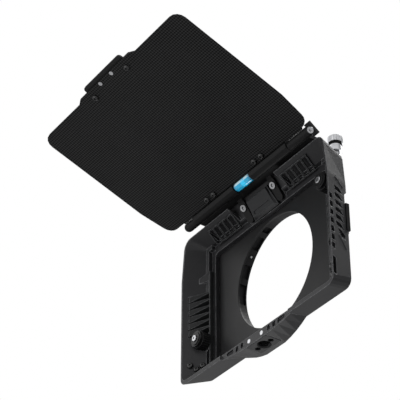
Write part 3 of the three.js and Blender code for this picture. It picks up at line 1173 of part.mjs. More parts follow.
function flagSheet() {
  const near = -FLAG_NEAR;
  const far = near - FLAG_LENGTH;
  const tip = far - TONGUE_LENGTH;
  const small = TONGUE_LENGTH / 2;
  const waist = FLAG_HALF_WIDTH - FLAG_WAIST;
  const large = FLAG_CORNER;
  const ear = -FLAG_EAR_NEAR;
  const step = FUSE;
  const outline = rounded([[-waist, near], [-FLAG_HALF_WIDTH, near - FLAG_WAIST_LENGTH],
    [-FLAG_HALF_WIDTH, far],
    [-TONGUE_HALF_BASE, far], [-TONGUE_HALF_TIP, tip], [TONGUE_HALF_TIP, tip], [TONGUE_HALF_BASE, far],
    [FLAG_HALF_WIDTH, far], [FLAG_HALF_WIDTH, near - FLAG_WAIST_LENGTH], [waist, near],
    [FLAG_EAR_END, near], [FLAG_EAR_END, ear], [BARREL_RIGHT_INNER, ear], [BARREL_RIGHT_INNER, near],
    [BARREL_LEFT_INNER, near], [BARREL_LEFT_INNER, ear], [BARREL_LEFT_OUTER, ear],
    [BARREL_LEFT_OUTER, near]],
  [large, large, large, small, small, small, small, large, large, large,
    step, step, step, step, step, step, step, step]);
  const sheet = alongZ(outline, SHEET_FACE, SHEET_FACE + SHEET_THICKNESS);
  const holes = [...flagScrewPlaces(), ...tabScrewPlaces()].map(([x, y]) =>
    alongZ(circle(BUTTON_SHANK_RADIUS + SEAT_GAP, SMALL_STEPS, x, y), SHEET_FACE - OVERRUN,
      SHEET_FACE + SHEET_THICKNESS + OVERRUN));
  const discs = tabMagnetPlaces().map(([x, y]) =>
    alongZ(circle(TAB_MAGNET_RADIUS + SEAT_GAP, SMALL_STEPS, x, y),
    SHEET_FACE - OVERRUN, SHEET_FACE + SHEET_THICKNESS + OVERRUN));
  return cut(sheet, ...holes, ...discs);
}

function pullTab() {
  const foot = SHEET_FACE + SHEET_THICKNESS + SEAT_GAP;
  const plate = alongZ(roundedBox(-TAB_HALF_WIDTH, TAB_HALF_WIDTH, -FLAG_NEAR - TAB_TIP,
    -FLAG_NEAR - TAB_ROOT, TAB_CORNER),
    foot, foot + TAB_THICKNESS);
  const holes = tabScrewPlaces().map(([x, y]) => alongZ(circle(BUTTON_SHANK_RADIUS + SEAT_GAP,
    SMALL_STEPS, x, y),
    foot - OVERRUN, foot + TAB_THICKNESS + OVERRUN));
  return cut(plate, ...holes);
}

function tabMagnets() {
  return tabMagnetPlaces().map(([x, y]) => alongZ(circle(TAB_MAGNET_RADIUS, SMALL_STEPS, x, y), SHEET_FACE,
    SHEET_FACE + SHEET_THICKNESS));
}

// Lock knob: a knurled head over a plain collar with a groove between them, on a screw into the
// notch of the back plate
function lockKnob() {
  const groove = LOCK_BOTTOM + LOCK_LOWER_HEIGHT;
  const upper = groove + LOCK_GROOVE_HEIGHT;
  return join(alongZ(circle(LOCK_COLLAR_RADIUS, ROUND_STEPS, LOCK_X, LOCK_Y), LOCK_BOTTOM, groove),
    alongZ(circle(LOCK_GROOVE_RADIUS, ROUND_STEPS, LOCK_X, LOCK_Y), groove - FUSE, upper + FUSE),
    alongZ(knurl(LOCK_RADIUS, LOCK_TOOTH, LOCK_TEETH, LOCK_X, LOCK_Y), upper, upper + LOCK_UPPER_HEIGHT),
    alongZ(circle(LOCK_STEM_RADIUS, SMALL_STEPS, LOCK_X, LOCK_Y), LUG_TOP + RUN_GAP, LOCK_BOTTOM + FUSE),
    alongZ(circle(LOCK_SHAFT_RADIUS, SMALL_STEPS, LOCK_X, LOCK_Y), LOCK_SHAFT_END,
      LUG_TOP + RUN_GAP + FUSE));
}

function lockRing() {
  const groove = LOCK_BOTTOM + LOCK_LOWER_HEIGHT;
  const ring = alongZ(circle(LOCK_RING_RADIUS, ROUND_STEPS, LOCK_X, LOCK_Y), groove + SEAT_GAP,
    groove + LOCK_GROOVE_HEIGHT - SEAT_GAP);
  return cut(ring, alongZ(circle(LOCK_GROOVE_RADIUS + SEAT_GAP, ROUND_STEPS, LOCK_X, LOCK_Y), LOCK_BOTTOM,
    groove + LOCK_GROOVE_HEIGHT + OVERRUN));
}

// Sliding latch: a strip behind the right wall with a hook over the back plate's edge
function sideLatch() {
  const strip = alongZ(box(LATCH_INNER, LATCH_OUTER, SEAT_GAP, SEAT_GAP + LATCH_THICKNESS), LATCH_BOTTOM,
    LATCH_TOP);
  const hookRear = PLATE_THICKNESS + SEAT_GAP + LATCH_HOOK_THICKNESS;
  const web = alongZ(box(LATCH_INNER, LATCH_INNER + LATCH_WEB, SEAT_GAP, hookRear), LATCH_BOTTOM,
    LATCH_HOOK_TOP);
  const hook = alongZ(box(LATCH_HOOK_TIP, LATCH_INNER + LATCH_WEB, PLATE_THICKNESS + SEAT_GAP, hookRear),
    LATCH_BOTTOM,
    LATCH_HOOK_TOP);
  const pad = alongZ(box(LATCH_NOTCH_X + RUN_GAP, LATCH_PAD_OUTER, -LATCH_NOTCH_DEPTH + RUN_GAP,
    LATCH_PAD_REAR), LATCH_BOTTOM, LATCH_TOP);
  const reach = LATCH_SCREW_RADIUS + RUN_GAP;
  const slot = alongY(box(LATCH_SCREW_X - reach, LATCH_SCREW_X + reach,
    LATCH_SCREW_Z - LATCH_TRAVEL - reach,
    LATCH_SCREW_Z + reach), 0, SEAT_GAP + LATCH_THICKNESS + OVERRUN);
  return cut(join(strip, web, hook, pad), slot);
}

function latchScrew() {
  const head = SEAT_GAP + LATCH_THICKNESS + RUN_GAP;
  return moved(buttonScrew(LATCH_HEAD_RADIUS, LATCH_HEAD_HEIGHT, LATCH_SCREW_RADIUS,
    head + LATCH_SCREW_GRIP),
    at(LATCH_SCREW_X, head, LATCH_SCREW_Z));
}

function flagGroup() {
  const group = new THREE.Group();
  group.position.set(0, HINGE_Y, HINGE_Z);
  group.rotation.x = -FLAG_TILT;
  group.add(
    piece("flag_bar", flagBar(), BLACK_PLATE),
    piece("level_vial", levelVial(), CYAN),
    piece("flag_sheet", flagSheet(), CARBON),
    ...numbered("flag_screw", sheetScrews(flagScrewPlaces()), BLACK_SCREW),
    piece("pull_tab", pullTab(), BLACK_SHELL),
    ...numbered("tab_screw", sheetScrews(tabScrewPlaces()), BLACK_SCREW),
    ...numbered("tab_magnet", tabMagnets(), SILVER),
  );
  return group;
}

function bodyGroup() {
  const group = new THREE.Group();
  group.add(
    piece("hood", hood(), BLACK_SHELL),
    piece("back_plate", backPlate(), BLACK_PLATE),
    piece("lens_ring", lensRing(), BLACK_PLATE),
    ...numbered("ring_screw", ringScrews(), BLACK_SCREW),
    piece("detent_plunger", detentPlunger(), SILVER),
    piece("mount_pad", mountPad(), BLACK_PLATE),
    ...numbered("lip_magnet", lipMagnets(), SILVER),
    piece("lock_knob", lockKnob(), SILVER),
    piece("lock_ring", lockRing(), RUBBER),
    piece("side_latch", sideLatch(), BLACK_PLATE),
    piece("latch_screw", latchScrew(), BLACK_SCREW),
  );
  [["left", -1], ["right", 1]].forEach(([hand, side]) => {
    group.add(
      piece(`side_louvre_${hand}`, sideLouvre(side), BLACK_SHELL),
      piece(`top_louvre_${hand}`, topLouvre(side), BLACK_SHELL),
      ...numbered(`corner_screw_${hand}`,
        cornerScrews(side, CORNER_HEAD_RADIUS, CORNER_HEAD_HEIGHT, CORNER_SHANK_RADIUS,
          CORNER_SHANK_LENGTH), BLACK_SCREW),
    );
  });
  knobPlaces().forEach(([x, z], i) => {
    const hand = ["left", "right"][i];
    group.add(piece(`retaining_knob_${hand}`, knobBody(x, z), BLACK_PLATE),
      piece(`knob_cap_${hand}`, knobCap(x, z), SILVER));
  });
  return group;
}

function hingeGroup() {
  const group = new THREE.Group();
  group.add(
    piece("flag_bracket", flagBracket(), BLACK_PLATE),
    piece("bracket_cover", bracketCover(), BLACK_PLATE),
    ...numbered("bracket_screw", bracketScrews(), SILVER),
    piece("barrel_cap_left", barrelCapLeft(), BLACK_PLATE),
    piece("barrel_cap_right", barrelCapRight(), BLACK_PLATE),
    piece("tension_screw", tensionScrew(), SILVER),
    piece("hinge_pin_left", hingePin(-1, BARREL_LEFT_OUTER), SILVER),
    piece("hinge_pin_right", hingePin(1, BARREL_RIGHT_OUTER), SILVER),
  );
  return group;
}

const matteBox = new THREE.Group();
matteBox.name = "matte_box";
matteBox.add(bodyGroup(), hingeGroup(), flagGroup());

export default matteBox;
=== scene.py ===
"""Looks of the matte box: finishes for every CAD node, the thin trim that the solids leave out,
and a plain studio with the camera below and in front of the hood. Lengths are metres."""
import logging
import math
from dataclasses import dataclass, field
from enum import Enum
from typing import Iterable, Optional, Sequence, Union

import bpy
from mathutils import Matrix, Vector


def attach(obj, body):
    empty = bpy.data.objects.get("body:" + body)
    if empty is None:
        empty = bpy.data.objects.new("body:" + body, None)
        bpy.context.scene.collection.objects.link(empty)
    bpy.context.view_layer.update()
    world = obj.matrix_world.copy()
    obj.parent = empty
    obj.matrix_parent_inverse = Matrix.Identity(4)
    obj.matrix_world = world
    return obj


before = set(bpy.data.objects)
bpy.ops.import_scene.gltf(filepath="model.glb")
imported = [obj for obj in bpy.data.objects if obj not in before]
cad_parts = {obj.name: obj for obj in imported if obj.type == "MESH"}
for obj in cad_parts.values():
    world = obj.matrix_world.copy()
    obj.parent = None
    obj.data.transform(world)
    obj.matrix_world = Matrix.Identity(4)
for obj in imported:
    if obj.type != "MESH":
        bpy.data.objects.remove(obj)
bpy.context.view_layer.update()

MM = 0.001
Colour = tuple[float, float, float]
Place = tuple[float, float, float]
Pair = tuple[float, float]
Value = Union[float, int, Sequence[float], "Sock"]
EDGE_RANGE = (0.01, 0.16)  # turn of the rounded normal at which an edge starts and is full
log = logging.getLogger("matte_box")


class Body(Enum):
    """Bodies that the added pieces move with, as the frame names them."""

    HOUSING = "housing"


class Slot(Enum):
    """Material slots of the record."""

    SHELL = "black_shell"
    PLATE = "black_plate"


class Ray(Enum):
    """Kinds of ray that see the surroundings in their own way."""

    CAMERA = "Is Camera Ray"
    TRANSMISSION = "Is Transmission Ray"
    GLOSSY = "Is Glossy Ray"


def srgb(red: int, green: int, blue: int) -> Colour:
    """Turns a screen colour into the linear one that shaders use.

    Args:
        red: Red from 0 to 255.
        green: Green from 0 to 255.
        blue: Blue from 0 to 255.

    Returns:
        The colour as linear shares.
    """
    def linear(level: int) -> float:
        """Returns the linear share of one channel."""
        share = level / 255
        return share / 12.92 if share <= 0.04045 else ((share + 0.055) / 1.055) ** 2.4
    return linear(red), linear(green), linear(blue)


def tinted(colour: Colour, share: float) -> Colour:
    """Returns the colour made darker or paler by a share."""
    return tuple(part * share for part in colour)


class Sock:
    """A shader socket that takes part in Python arithmetic."""

    def __init__(self, paint: "Paint", socket: bpy.types.NodeSocket) -> None:
        """Keeps the tree and the output socket."""
        self.paint = paint
        self.socket = socket

    def _math(self, operation: str, *values: Value) -> "Sock":
        """Adds one Math node.

        Args:
            operation: The node's operation.
            values: Its inputs in order.

        Returns:
            Its result.
        """
        return self.paint.node("ShaderNodeMath", {"operation": operation}, dict(enumerate(values)))

    def __add__(self, other: Value) -> "Sock":
        """Returns the sum."""
        return self._math("ADD", self, other)

    def __radd__(self, other: Value) -> "Sock":
        """Returns the sum."""
        return self._math("ADD", other, self)

    def __sub__(self, other: Value) -> "Sock":
        """Returns the difference."""
        return self._math("SUBTRACT", self, other)

    def __rsub__(self, other: Value) -> "Sock":
        """Returns the reflected difference."""
        return self._math("SUBTRACT", other, self)

    def __mul__(self, other: Value) -> "Sock":
        """Returns the product."""
        return self._math("MULTIPLY", self, other)

    def __rmul__(self, other: Value) -> "Sock":
        """Returns the product."""
        return self._math("MULTIPLY", other, self)

    def __truediv__(self, other: Value) -> "Sock":
        """Returns the quotient."""
        return self._math("DIVIDE", self, other)

    def fraction(self) -> "Sock":
        """Returns the part after the point."""
        return self._math("FRACT", self)

    def floor(self) -> "Sock":
        """Returns the whole part."""
        return self._math("FLOOR", self)

    def sine(self) -> "Sock":
        """Returns the sine."""
        return self._math("SINE", self)

    def magnitude(self) -> "Sock":
        """Returns the value without its sign."""
        return self._math("ABSOLUTE", self)

    def above(self, limit: Value) -> "Sock":
        """Returns 1 where the value is above the limit and 0 elsewhere."""
        return self._math("GREATER_THAN", self, limit)

    def most(self, other: Value) -> "Sock":
        """Returns the larger of the two."""
        return self._math("MAXIMUM", self, other)

    def clipped(self) -> "Sock":
        """Returns the value held between 0 and 1."""
        return self.paint.node("ShaderNodeClamp", {}, {0: self})


class Paint:
    """A material or world whose node tree is written as Python expressions."""

    def __init__(self, owner: Union[bpy.types.Material, bpy.types.World]) -> None:
        """Starts an empty tree.

        Args:
            owner: What the tree belongs to.
        """
        self.owner = owner
        owner.use_nodes = True
        self.tree = owner.node_tree
        self.tree.nodes.clear()

    @classmethod
    def material(cls, name: str) -> "Paint":
        """Starts the tree of a new material."""
        return cls(bpy.data.materials.new(name))

    def node(self, kind: str, settings: Optional[dict] = None, inputs: Optional[dict] = None,
             output: Union[int, str] = 0) -> Sock:
        """Adds a node.

        Args:
            kind: The node's type.
            settings: Its properties.
            inputs: Values or links by socket index or name.
            output: Which output is wanted.

        Returns:
            That output.
        """
        node = self.tree.nodes.new(kind)
        for key, value in (settings or {}).items():
            setattr(node, key, value)
        for key, value in (inputs or {}).items():
            socket = node.inputs[key]
            if isinstance(value, Sock):
                self.tree.links.new(value.socket, socket)
            elif socket.type == "RGBA":
                socket.default_value = (*value, 1)
            else:
                socket.default_value = value
        return Sock(self, node.outputs[output])

    def place(self) -> Sock:
        """Returns the place on the piece, in metres."""
        return self.node("ShaderNodeTexCoord", {}, {}, "Object")

    def ray(self, kind: Ray) -> Sock:
        """Returns 1 for rays of a kind and 0 for others."""
        return self.node("ShaderNodeLightPath", {}, {}, kind.value)

    def split(self, vector: Sock) -> tuple[Sock, Sock, Sock]:
        """Splits a vector.

        Args:
            vector: The vector.

        Returns:
            Its three parts.
        """
        first = self.node("ShaderNodeSeparateXYZ", {}, {0: vector})
        outputs = first.socket.node.outputs
        return first, Sock(self, outputs[1]), Sock(self, outputs[2])

    def sheet(self, vector: Sock, hinge: Pair, lean: float) -> tuple[Sock, Sock, Sock]:
        """Turns a place into the flag's own directions.

        Args:
            vector: The place.
            hinge: Depth and height of the flag's axis.
            lean: How far the sheet leans up.

        Returns:
            Distance along the axis, outward along the sheet and off the sheet.
        """
        across, depth, height = self.split(vector)
        back, up = hinge[0] - depth, height - hinge[1]
        return (across, back * math.cos(lean) + up * math.sin(lean),
                up * math.cos(lean) - back * math.sin(lean))

    def noise(self, vector: Sock, grain: float, detail: float = 2,
              stretch: Place = (1, 1, 1)) -> Sock:
        """Returns noise whose features are about one grain wide.

        Args:
            vector: The place.
            grain: Size of a feature in metres.
            detail: Octaves.
            stretch: Frequency of each axis against the grain's.

        Returns:
            Noise around one half.
        """
        scaled = self.node("ShaderNodeMapping", {}, {0: vector, 3: stretch})
        return self.node("ShaderNodeTexNoise", {}, {
            "Vector": scaled, "Scale": 1 / grain, "Detail": detail})

    def spread(self, value: Sock, low: float, high: float) -> Sock:
        """Returns 0 below low, 1 above high and a straight run between them."""
        return self.node("ShaderNodeMapRange", {}, {0: value, 1: low, 2: high})

    def blend(self, share: Value, first: Union[Colour, Sock], second: Union[Colour, Sock]) -> Sock:
        """Mixes two colours.

        Args:
            share: Share of the second.
            first: The first colour.
            second: The second colour.

        Returns:
            The mixed colour.
        """
        return self.node("ShaderNodeMix", {"data_type": "RGBA"}, {0: share, 6: first, 7: second}, 2)

    def shade(self, reach: float) -> Sock:
        """Returns 1 in the open and less inside sockets and grooves.

        Args:
            reach: How far a wall darkens what lies beside it.

        Returns:
            The openness.
        """
        return self.node("ShaderNodeAmbientOcclusion", {"samples": 8, "only_local": True},
                         {"Distance": reach}, "AO")

    def edges(self, width: float) -> tuple[Sock, Sock]:
        """Finds the edges of a piece.

        Args:
            width: How far an edge reaches.

        Returns:
            The rounded normal, and a mask that is 1 on an edge.
        """
        soft = self.node("ShaderNodeBevel", {"samples": 4}, {"Radius": width})
        flat = self.node("ShaderNodeNewGeometry", {}, {}, "Normal")
        along = self.node("ShaderNodeVectorMath", {"operation": "DOT_PRODUCT"},
                          {0: soft, 1: flat}, "Value")
        return soft, self.spread(1 - along, *EDGE_RANGE)

    def bump(self, height: Sock, depth: float, strength: float,
             normal: Optional[Sock] = None) -> Sock:
        """Raises fine relief.

        Args:
            height: The relief from 0 to 1.
            depth: Its full height.
            strength: How strongly it shows.
            normal: The normal that it starts from.

        Returns:
            The shading normal.
        """
        inputs = {"Strength": strength, "Distance": depth, "Height": height}
        if normal is not None:
            inputs["Normal"] = normal
        return self.node("ShaderNodeBump", {}, inputs)

    def surface(self, base: Value, roughness: Value, normal: Sock, metallic: float = 0,
                specular: float = 0.5, coat: float = 0, coat_roughness: float = 0.1,
                painted_glow: Optional[Sock] = None, painted_glow_strength: float = 0) -> bpy.types.Material:
        """Closes the material with its shader.

        Args:
            base: Base colour.
            roughness: Roughness.
            normal: Shading normal.
            metallic: Share of metal.
            specular: Specular level.
            coat: Weight of the clear coat.
            coat_roughness: Roughness of the clear coat.
            painted_glow: Colour of painted light that the piece gives off though it is no lamp.
            painted_glow_strength: Strength of that painted light.

        Returns:
            The material.
        """
        lit = {} if painted_glow is None else {"Emission Color": painted_glow, "Emission Strength": painted_glow_strength}
        shader = self.node("ShaderNodeBsdfPrincipled", {}, {
            "Base Color": base, "Roughness": roughness, "Normal": normal, "Metallic": metallic,
            "Specular IOR Level": specular, "Coat Weight": coat,
            "Coat Roughness": coat_roughness, **lit})
        return self.close(shader, "ShaderNodeOutputMaterial")

    def close(self, shader: Sock, kind: str) -> Union[bpy.types.Material, bpy.types.World]:
        """Ends the tree.

        Args:
            shader: The last shader.
            kind: Type of the output node.

        Returns:
            What the tree belongs to.
        """
        self.tree.links.new(shader.socket, self.tree.nodes.new(kind).inputs["Surface"])
        return self.owner


@dataclass(frozen=True)
class GrainFinish:
    """Matte black coat with a fine grain, faint mottling and paler edges, partly rubbed and partly
    a painted highlight.
    """

    name: str
    colour: Colour
    # colour of the paler edges, partly rubbed and partly a painted highlight
    worn_highlight: Colour
    roughness: float = 0.55
    metallic: float = 0.0
    specular: float = 0.4
    grain: float = 0.45 * MM
    relief: float = 0.05 * MM
    edge: float = 0.45 * MM
    wear_highlight: float = 0.55
    cloud: float = 22 * MM
    rub: float = 3.5 * MM
    rub_stretch: Place = (1, 2.4, 0.7)
    rub_range: Pair = (0.22, 0.58)  # noise at which the rubbed and painted paler edge starts and is full
    mottling: Pair = (0.82, 1.35)  # darkest and palest shares of the colour
    mottling_share: float = 0.25  # of each of the two noises
    fine_gloss: float = 0.22
    cloud_gloss: float = 0.12
    rub_gloss: float = 0.1
    strength: float = 0.5

    def build(self) -> bpy.types.Material:
        """Returns the material."""
        paint = Paint.material(self.name)
        place = paint.place()
        fine = paint.noise(place, self.grain, 3)
        cloud = paint.noise(place, self.cloud, 3)
        rub = paint.noise(place, self.rub, 4, self.rub_stretch)
        soft, edge = paint.edges(self.edge)
        # paler edges in patches, partly rubbed and partly a painted highlight
        worn_highlight = edge * self.wear_highlight * paint.spread(rub, *self.rub_range)
        dark, pale = (tinted(self.colour, share) for share in self.mottling)
        mottled = paint.blend((cloud + fine) * self.mottling_share, dark, pale)
        base = paint.blend(worn_highlight, mottled, self.worn_highlight)
        roughness = ((fine - 0.5) * self.fine_gloss + (cloud - 0.5) * self.cloud_gloss
                     + self.roughness - worn_highlight * self.rub_gloss).clipped()
        normal = paint.bump(fine, self.relief, self.strength, soft)
        return paint.surface(base, roughness, normal, self.metallic, self.specular)


@dataclass(frozen=True)
class WeaveFinish:
    """Carbon woven across the sheet's diagonals, under a satin coat, its sheen painted as paler
    warp squares and tow crowns.
    """

    name: str
    hinge: Pair
    lean: float
    repeat: Pair = (2.09 * MM, 2.0 * MM)  # along the axis and outward
    middle: float = 0.32 * MM  # of the sheet's thickness, off the axis
    half: float = 0.72 * MM
    fibre: float = 0.35 * MM
    cloud: float = 30 * MM
    warp_sheen_tone: float = 0.86
    crown_sheen_tone: float = 0.1
    noise_tone: float = 0.2
    roughness: float = 0.42
    crown_gloss: float = 0.16
    fibre_gloss: float = 0.12
    edge: float = 0.25 * MM
    relief: float = 0.1 * MM
    strength: float = 0.5
    specular: float = 0.12
    # the pale colour carries the weave's painted sheen
    dark: Colour = (0.0003, 0.0003, 0.0004)
    pale: Colour = (0.0330, 0.0332, 0.0338)

    def build(self) -> bpy.types.Material:
        """Returns the material."""
        paint = Paint.material(self.name)
        place = paint.place()
        across, out, rise = paint.sheet(place, self.hinge, self.lean)
        face = (rise - self.middle).magnitude().above(self.half)
        along, down = across / self.repeat[0], out / self.repeat[1]
        column, row = along + down, along - down
        warp = ((column.floor() + row.floor()) / 2).fraction().above(0.25)  # every other square
        over = (column.fraction() * math.pi).sine()
        under = (row.fraction() * math.pi).sine()
        crown = warp * over + (1 - warp) * under
        fibre = paint.noise(place, self.fibre)
        cloud = paint.noise(place, self.cloud)
        # painted sheen: warp squares and tow crowns are painted paler; fibre and cloud noise add
        # random variation
        sheen_and_tone = (face * (warp * self.warp_sheen_tone + crown * self.crown_sheen_tone)
                + (fibre - 0.5) * self.noise_tone + (cloud - 0.5) * self.noise_tone).clipped()
        base = paint.blend(sheen_and_tone, self.dark, self.pale)
        roughness = (self.roughness + (1 - crown) * self.crown_gloss
                     + (fibre - 0.5) * self.fibre_gloss).clipped()
        soft, _ = paint.edges(self.edge)
        normal = paint.bump(face * crown, self.relief, self.strength, soft)
        return paint.surface(base, roughness, normal, 0.0, self.specular)


@dataclass(frozen=True)
class MetalFinish:
    """Bright machined metal with fine tool marks, a painted highlight on its edges and painted
    shade in its recesses.
    """

    name: str
    colour: Colour
    roughness: float = 0.3
    mark: float = 0.22 * MM
    stretch: Place = (1, 1, 1)
    edge: float = 0.2 * MM
    stain: float = 4 * MM
    stain_range: Pair = (0.3, 0.75)
    stain_tone: float = 0.7
    edge_highlight_tone: float = 0.3
    dull: float = 0.62
    socket: float = 1.3 * MM
    socket_shade_range: Pair = (0.45, 0.85)  # openness at which the painted shade in a socket is darkest and has ended
    socket_shade_tone: float = 0.06
    mark_gloss: float = 0.25
    stain_gloss: float = 0.2
    relief: float = 0.02 * MM
    strength: float = 0.35

    def build(self) -> bpy.types.Material:
        """Returns the material."""
        paint = Paint.material(self.name)
        place = paint.place()
        marks = paint.noise(place, self.mark, 3, self.stretch)
        stain = paint.noise(place, self.stain, 3)
        soft, edge = paint.edges(self.edge)
        # painted highlight brightens the edges, over random variation from the stain noise
        shine = paint.spread(stain, *self.stain_range) * self.stain_tone + edge * self.edge_highlight_tone
        bright = paint.blend(shine, tinted(self.colour, self.dull), self.colour)
        # painted shade: ambient occlusion darkens the colour in sockets and recesses
        base = paint.blend(paint.spread(paint.shade(self.socket), *self.socket_shade_range),
                           tinted(self.colour, self.socket_shade_tone), bright)
        roughness = ((marks - 0.5) * self.mark_gloss + (stain - 0.5) * self.stain_gloss
                     + self.roughness).clipped()
        normal = paint.bump(marks, self.relief, self.strength, soft)
        return paint.surface(base, roughness, normal, 1.0)


@dataclass(frozen=True)
class VialFinish:
    """Tinted glossy tube, darker at its ends, with a painted highlight along its outer side, giving
    off painted light though it is no lamp.
    """

    name: str
    hinge: Pair
    lean: float
    colour: Colour
    pale: Colour
    end: Colour
    # colour of the painted highlight
    shine: Colour
    half: float
    middle: float
    end_range: Pair = (0.66, 0.97)  # shares of the half length over which an end darkens
    bubble: float = 1.2 * MM  # off the middle
    bubble_half: float = 0.2  # share of the half length
    bubble_cover: float = 0.6  # of the painted highlight line
    # band across the sheet where the painted highlight runs
    line: Pair = (3.35 * MM, 3.8 * MM)
    cloud: float = 2.5 * MM
    cloud_stretch: Place = (0.4, 1, 1)
    cloud_range: Pair = (0.35, 0.7)
    cloud_tone: float = 0.5
    edge: float = 0.4 * MM
    relief: float = 0.05 * MM
    strength: float = 0.1
    roughness: float = 0.16
    cloud_gloss: float = 0.08
    specular: float = 0.6
    coat: float = 1.0
    coat_roughness: float = 0.04
    # strength of the painted light that the tube gives off
    painted_glow: float = 0.35

    def build(self) -> bpy.types.Material:
        """Returns the material."""
        paint = Paint.material(self.name)
        place = paint.place()
        across, out, _ = paint.sheet(place, self.hinge, self.lean)
        cloud = paint.noise(place, self.cloud, stretch=self.cloud_stretch)
        along = across - self.middle
        far = paint.spread(along.magnitude() / self.half, *self.end_range)
        bubble = 1 - ((along - self.bubble).magnitude() / self.half).above(self.bubble_half)
        tint = paint.blend(paint.spread(cloud, *self.cloud_range) * self.cloud_tone,
                           self.colour, self.pale)
        body = paint.blend(bubble, tint, self.pale)
        # painted highlight along the tube's outer side, broken where the bubble lies
        painted_streak = paint.spread(out, *self.line) * (1 - bubble * self.bubble_cover)
        base = paint.blend(far, paint.blend(painted_streak, body, self.shine), self.end)
        soft, _ = paint.edges(self.edge)
        normal = paint.bump(cloud, self.relief, self.strength, soft)
        roughness = self.roughness + (cloud - 0.5) * self.cloud_gloss
        # painted light: the tube gives off its own colour though it is no lamp
        return paint.surface(base, roughness, normal, 0.0, self.specular, self.coat,
                             self.coat_roughness, base, self.painted_glow)


@dataclass(frozen=True)
class Finishes:
    """Every finish of the matte box, built once."""

    shell: bpy.types.Material
    louvre: bpy.types.Material
    plate: bpy.types.Material
    ring: bpy.types.Material
    pad: bpy.types.Material
    anodised: bpy.types.Material
    cover: bpy.types.Material
    knurl: bpy.types.Material
    tab: bpy.types.Material
    screw: bpy.types.Material
    rubber: bpy.types.Material
    silver: bpy.types.Material
    steel: bpy.types.Material
    carbon: bpy.types.Material
    vial: bpy.types.Material


def make_finishes(hinge: Pair, lean: float) -> Finishes:
    """Builds the finishes.

    Args:
        hinge: Depth and height of the flag's axis.
        lean: How far the sheet leans up.

    Returns:
        The built materials.
    """
    return Finishes(
        # the second colour of each grain finish is its paler edge, partly rubbed and partly a
        # painted highlight; on the shell and louvres it is mostly highlight
        shell=GrainFinish("shell", srgb(43, 43, 45), srgb(168, 169, 172), roughness=0.5,
                          specular=0.45, edge=0.7 * MM, wear_highlight=1.0).build(),
        louvre=GrainFinish("louvre", srgb(36, 37, 38), srgb(150, 151, 154), roughness=0.55,
                           specular=0.35, edge=0.6 * MM, wear_highlight=1.0).build(),
        plate=GrainFinish("plate", srgb(35, 35, 36), srgb(86, 87, 89), roughness=0.5,
                          specular=0.3, grain=0.3 * MM).build(),
        ring=GrainFinish("ring", srgb(24, 24, 26), srgb(86, 87, 90), roughness=0.55,
                         specular=0.3, grain=0.25 * MM).build(),
        pad=GrainFinish("pad", srgb(30, 30, 32), srgb(82, 83, 86), roughness=0.5, metallic=0.2,
                        specular=0.35, grain=0.3 * MM).build(),
        anodised=GrainFinish("anodised", srgb(18, 18, 19), srgb(58, 59, 61), roughness=0.5,
                             metallic=0.05, specular=0.25, grain=0.22 * MM, wear_highlight=0.35).build(),
        cover=GrainFinish("cover", srgb(36, 37, 39), srgb(104, 105, 108), roughness=0.42,
                          metallic=0.2, specular=0.45, grain=0.22 * MM).build(),
        knurl=GrainFinish("knurl", srgb(15, 15, 16), srgb(86, 87, 90), roughness=0.42,
                          metallic=0.1, specular=0.4, grain=0.25 * MM).build(),
        tab=GrainFinish("tab", srgb(24, 24, 25), srgb(62, 63, 65), roughness=0.56,
                        specular=0.3).build(),
        screw=GrainFinish("screw", srgb(7, 7, 8), srgb(120, 121, 125), roughness=0.2,
                          metallic=0.2, specular=0.9, grain=0.2 * MM, relief=0.02 * MM,
                          edge=0.3 * MM, wear_highlight=0.5).build(),
        rubber=GrainFinish("rubber", srgb(17, 17, 18), srgb(34, 34, 35), roughness=0.82,
                           specular=0.25, grain=0.5 * MM, relief=0.09 * MM).build(),
        silver=MetalFinish("silver", srgb(232, 233, 236), roughness=0.2, mark=0.16 * MM,
                           stretch=(1, 1, 0.25)).build(),
        steel=MetalFinish("steel", srgb(226, 227, 230), roughness=0.3, mark=0.18 * MM,
                          stretch=(0.3, 1, 1)).build(),
        carbon=WeaveFinish("carbon", hinge, lean).build(),
        vial=VialFinish("vial", hinge, lean, colour=srgb(34, 160, 205), pale=srgb(40, 205, 255),
                        end=srgb(24, 110, 145), shine=srgb(205, 236, 244), half=10.4 * MM,
                        middle=3.8 * MM).build(),
    )


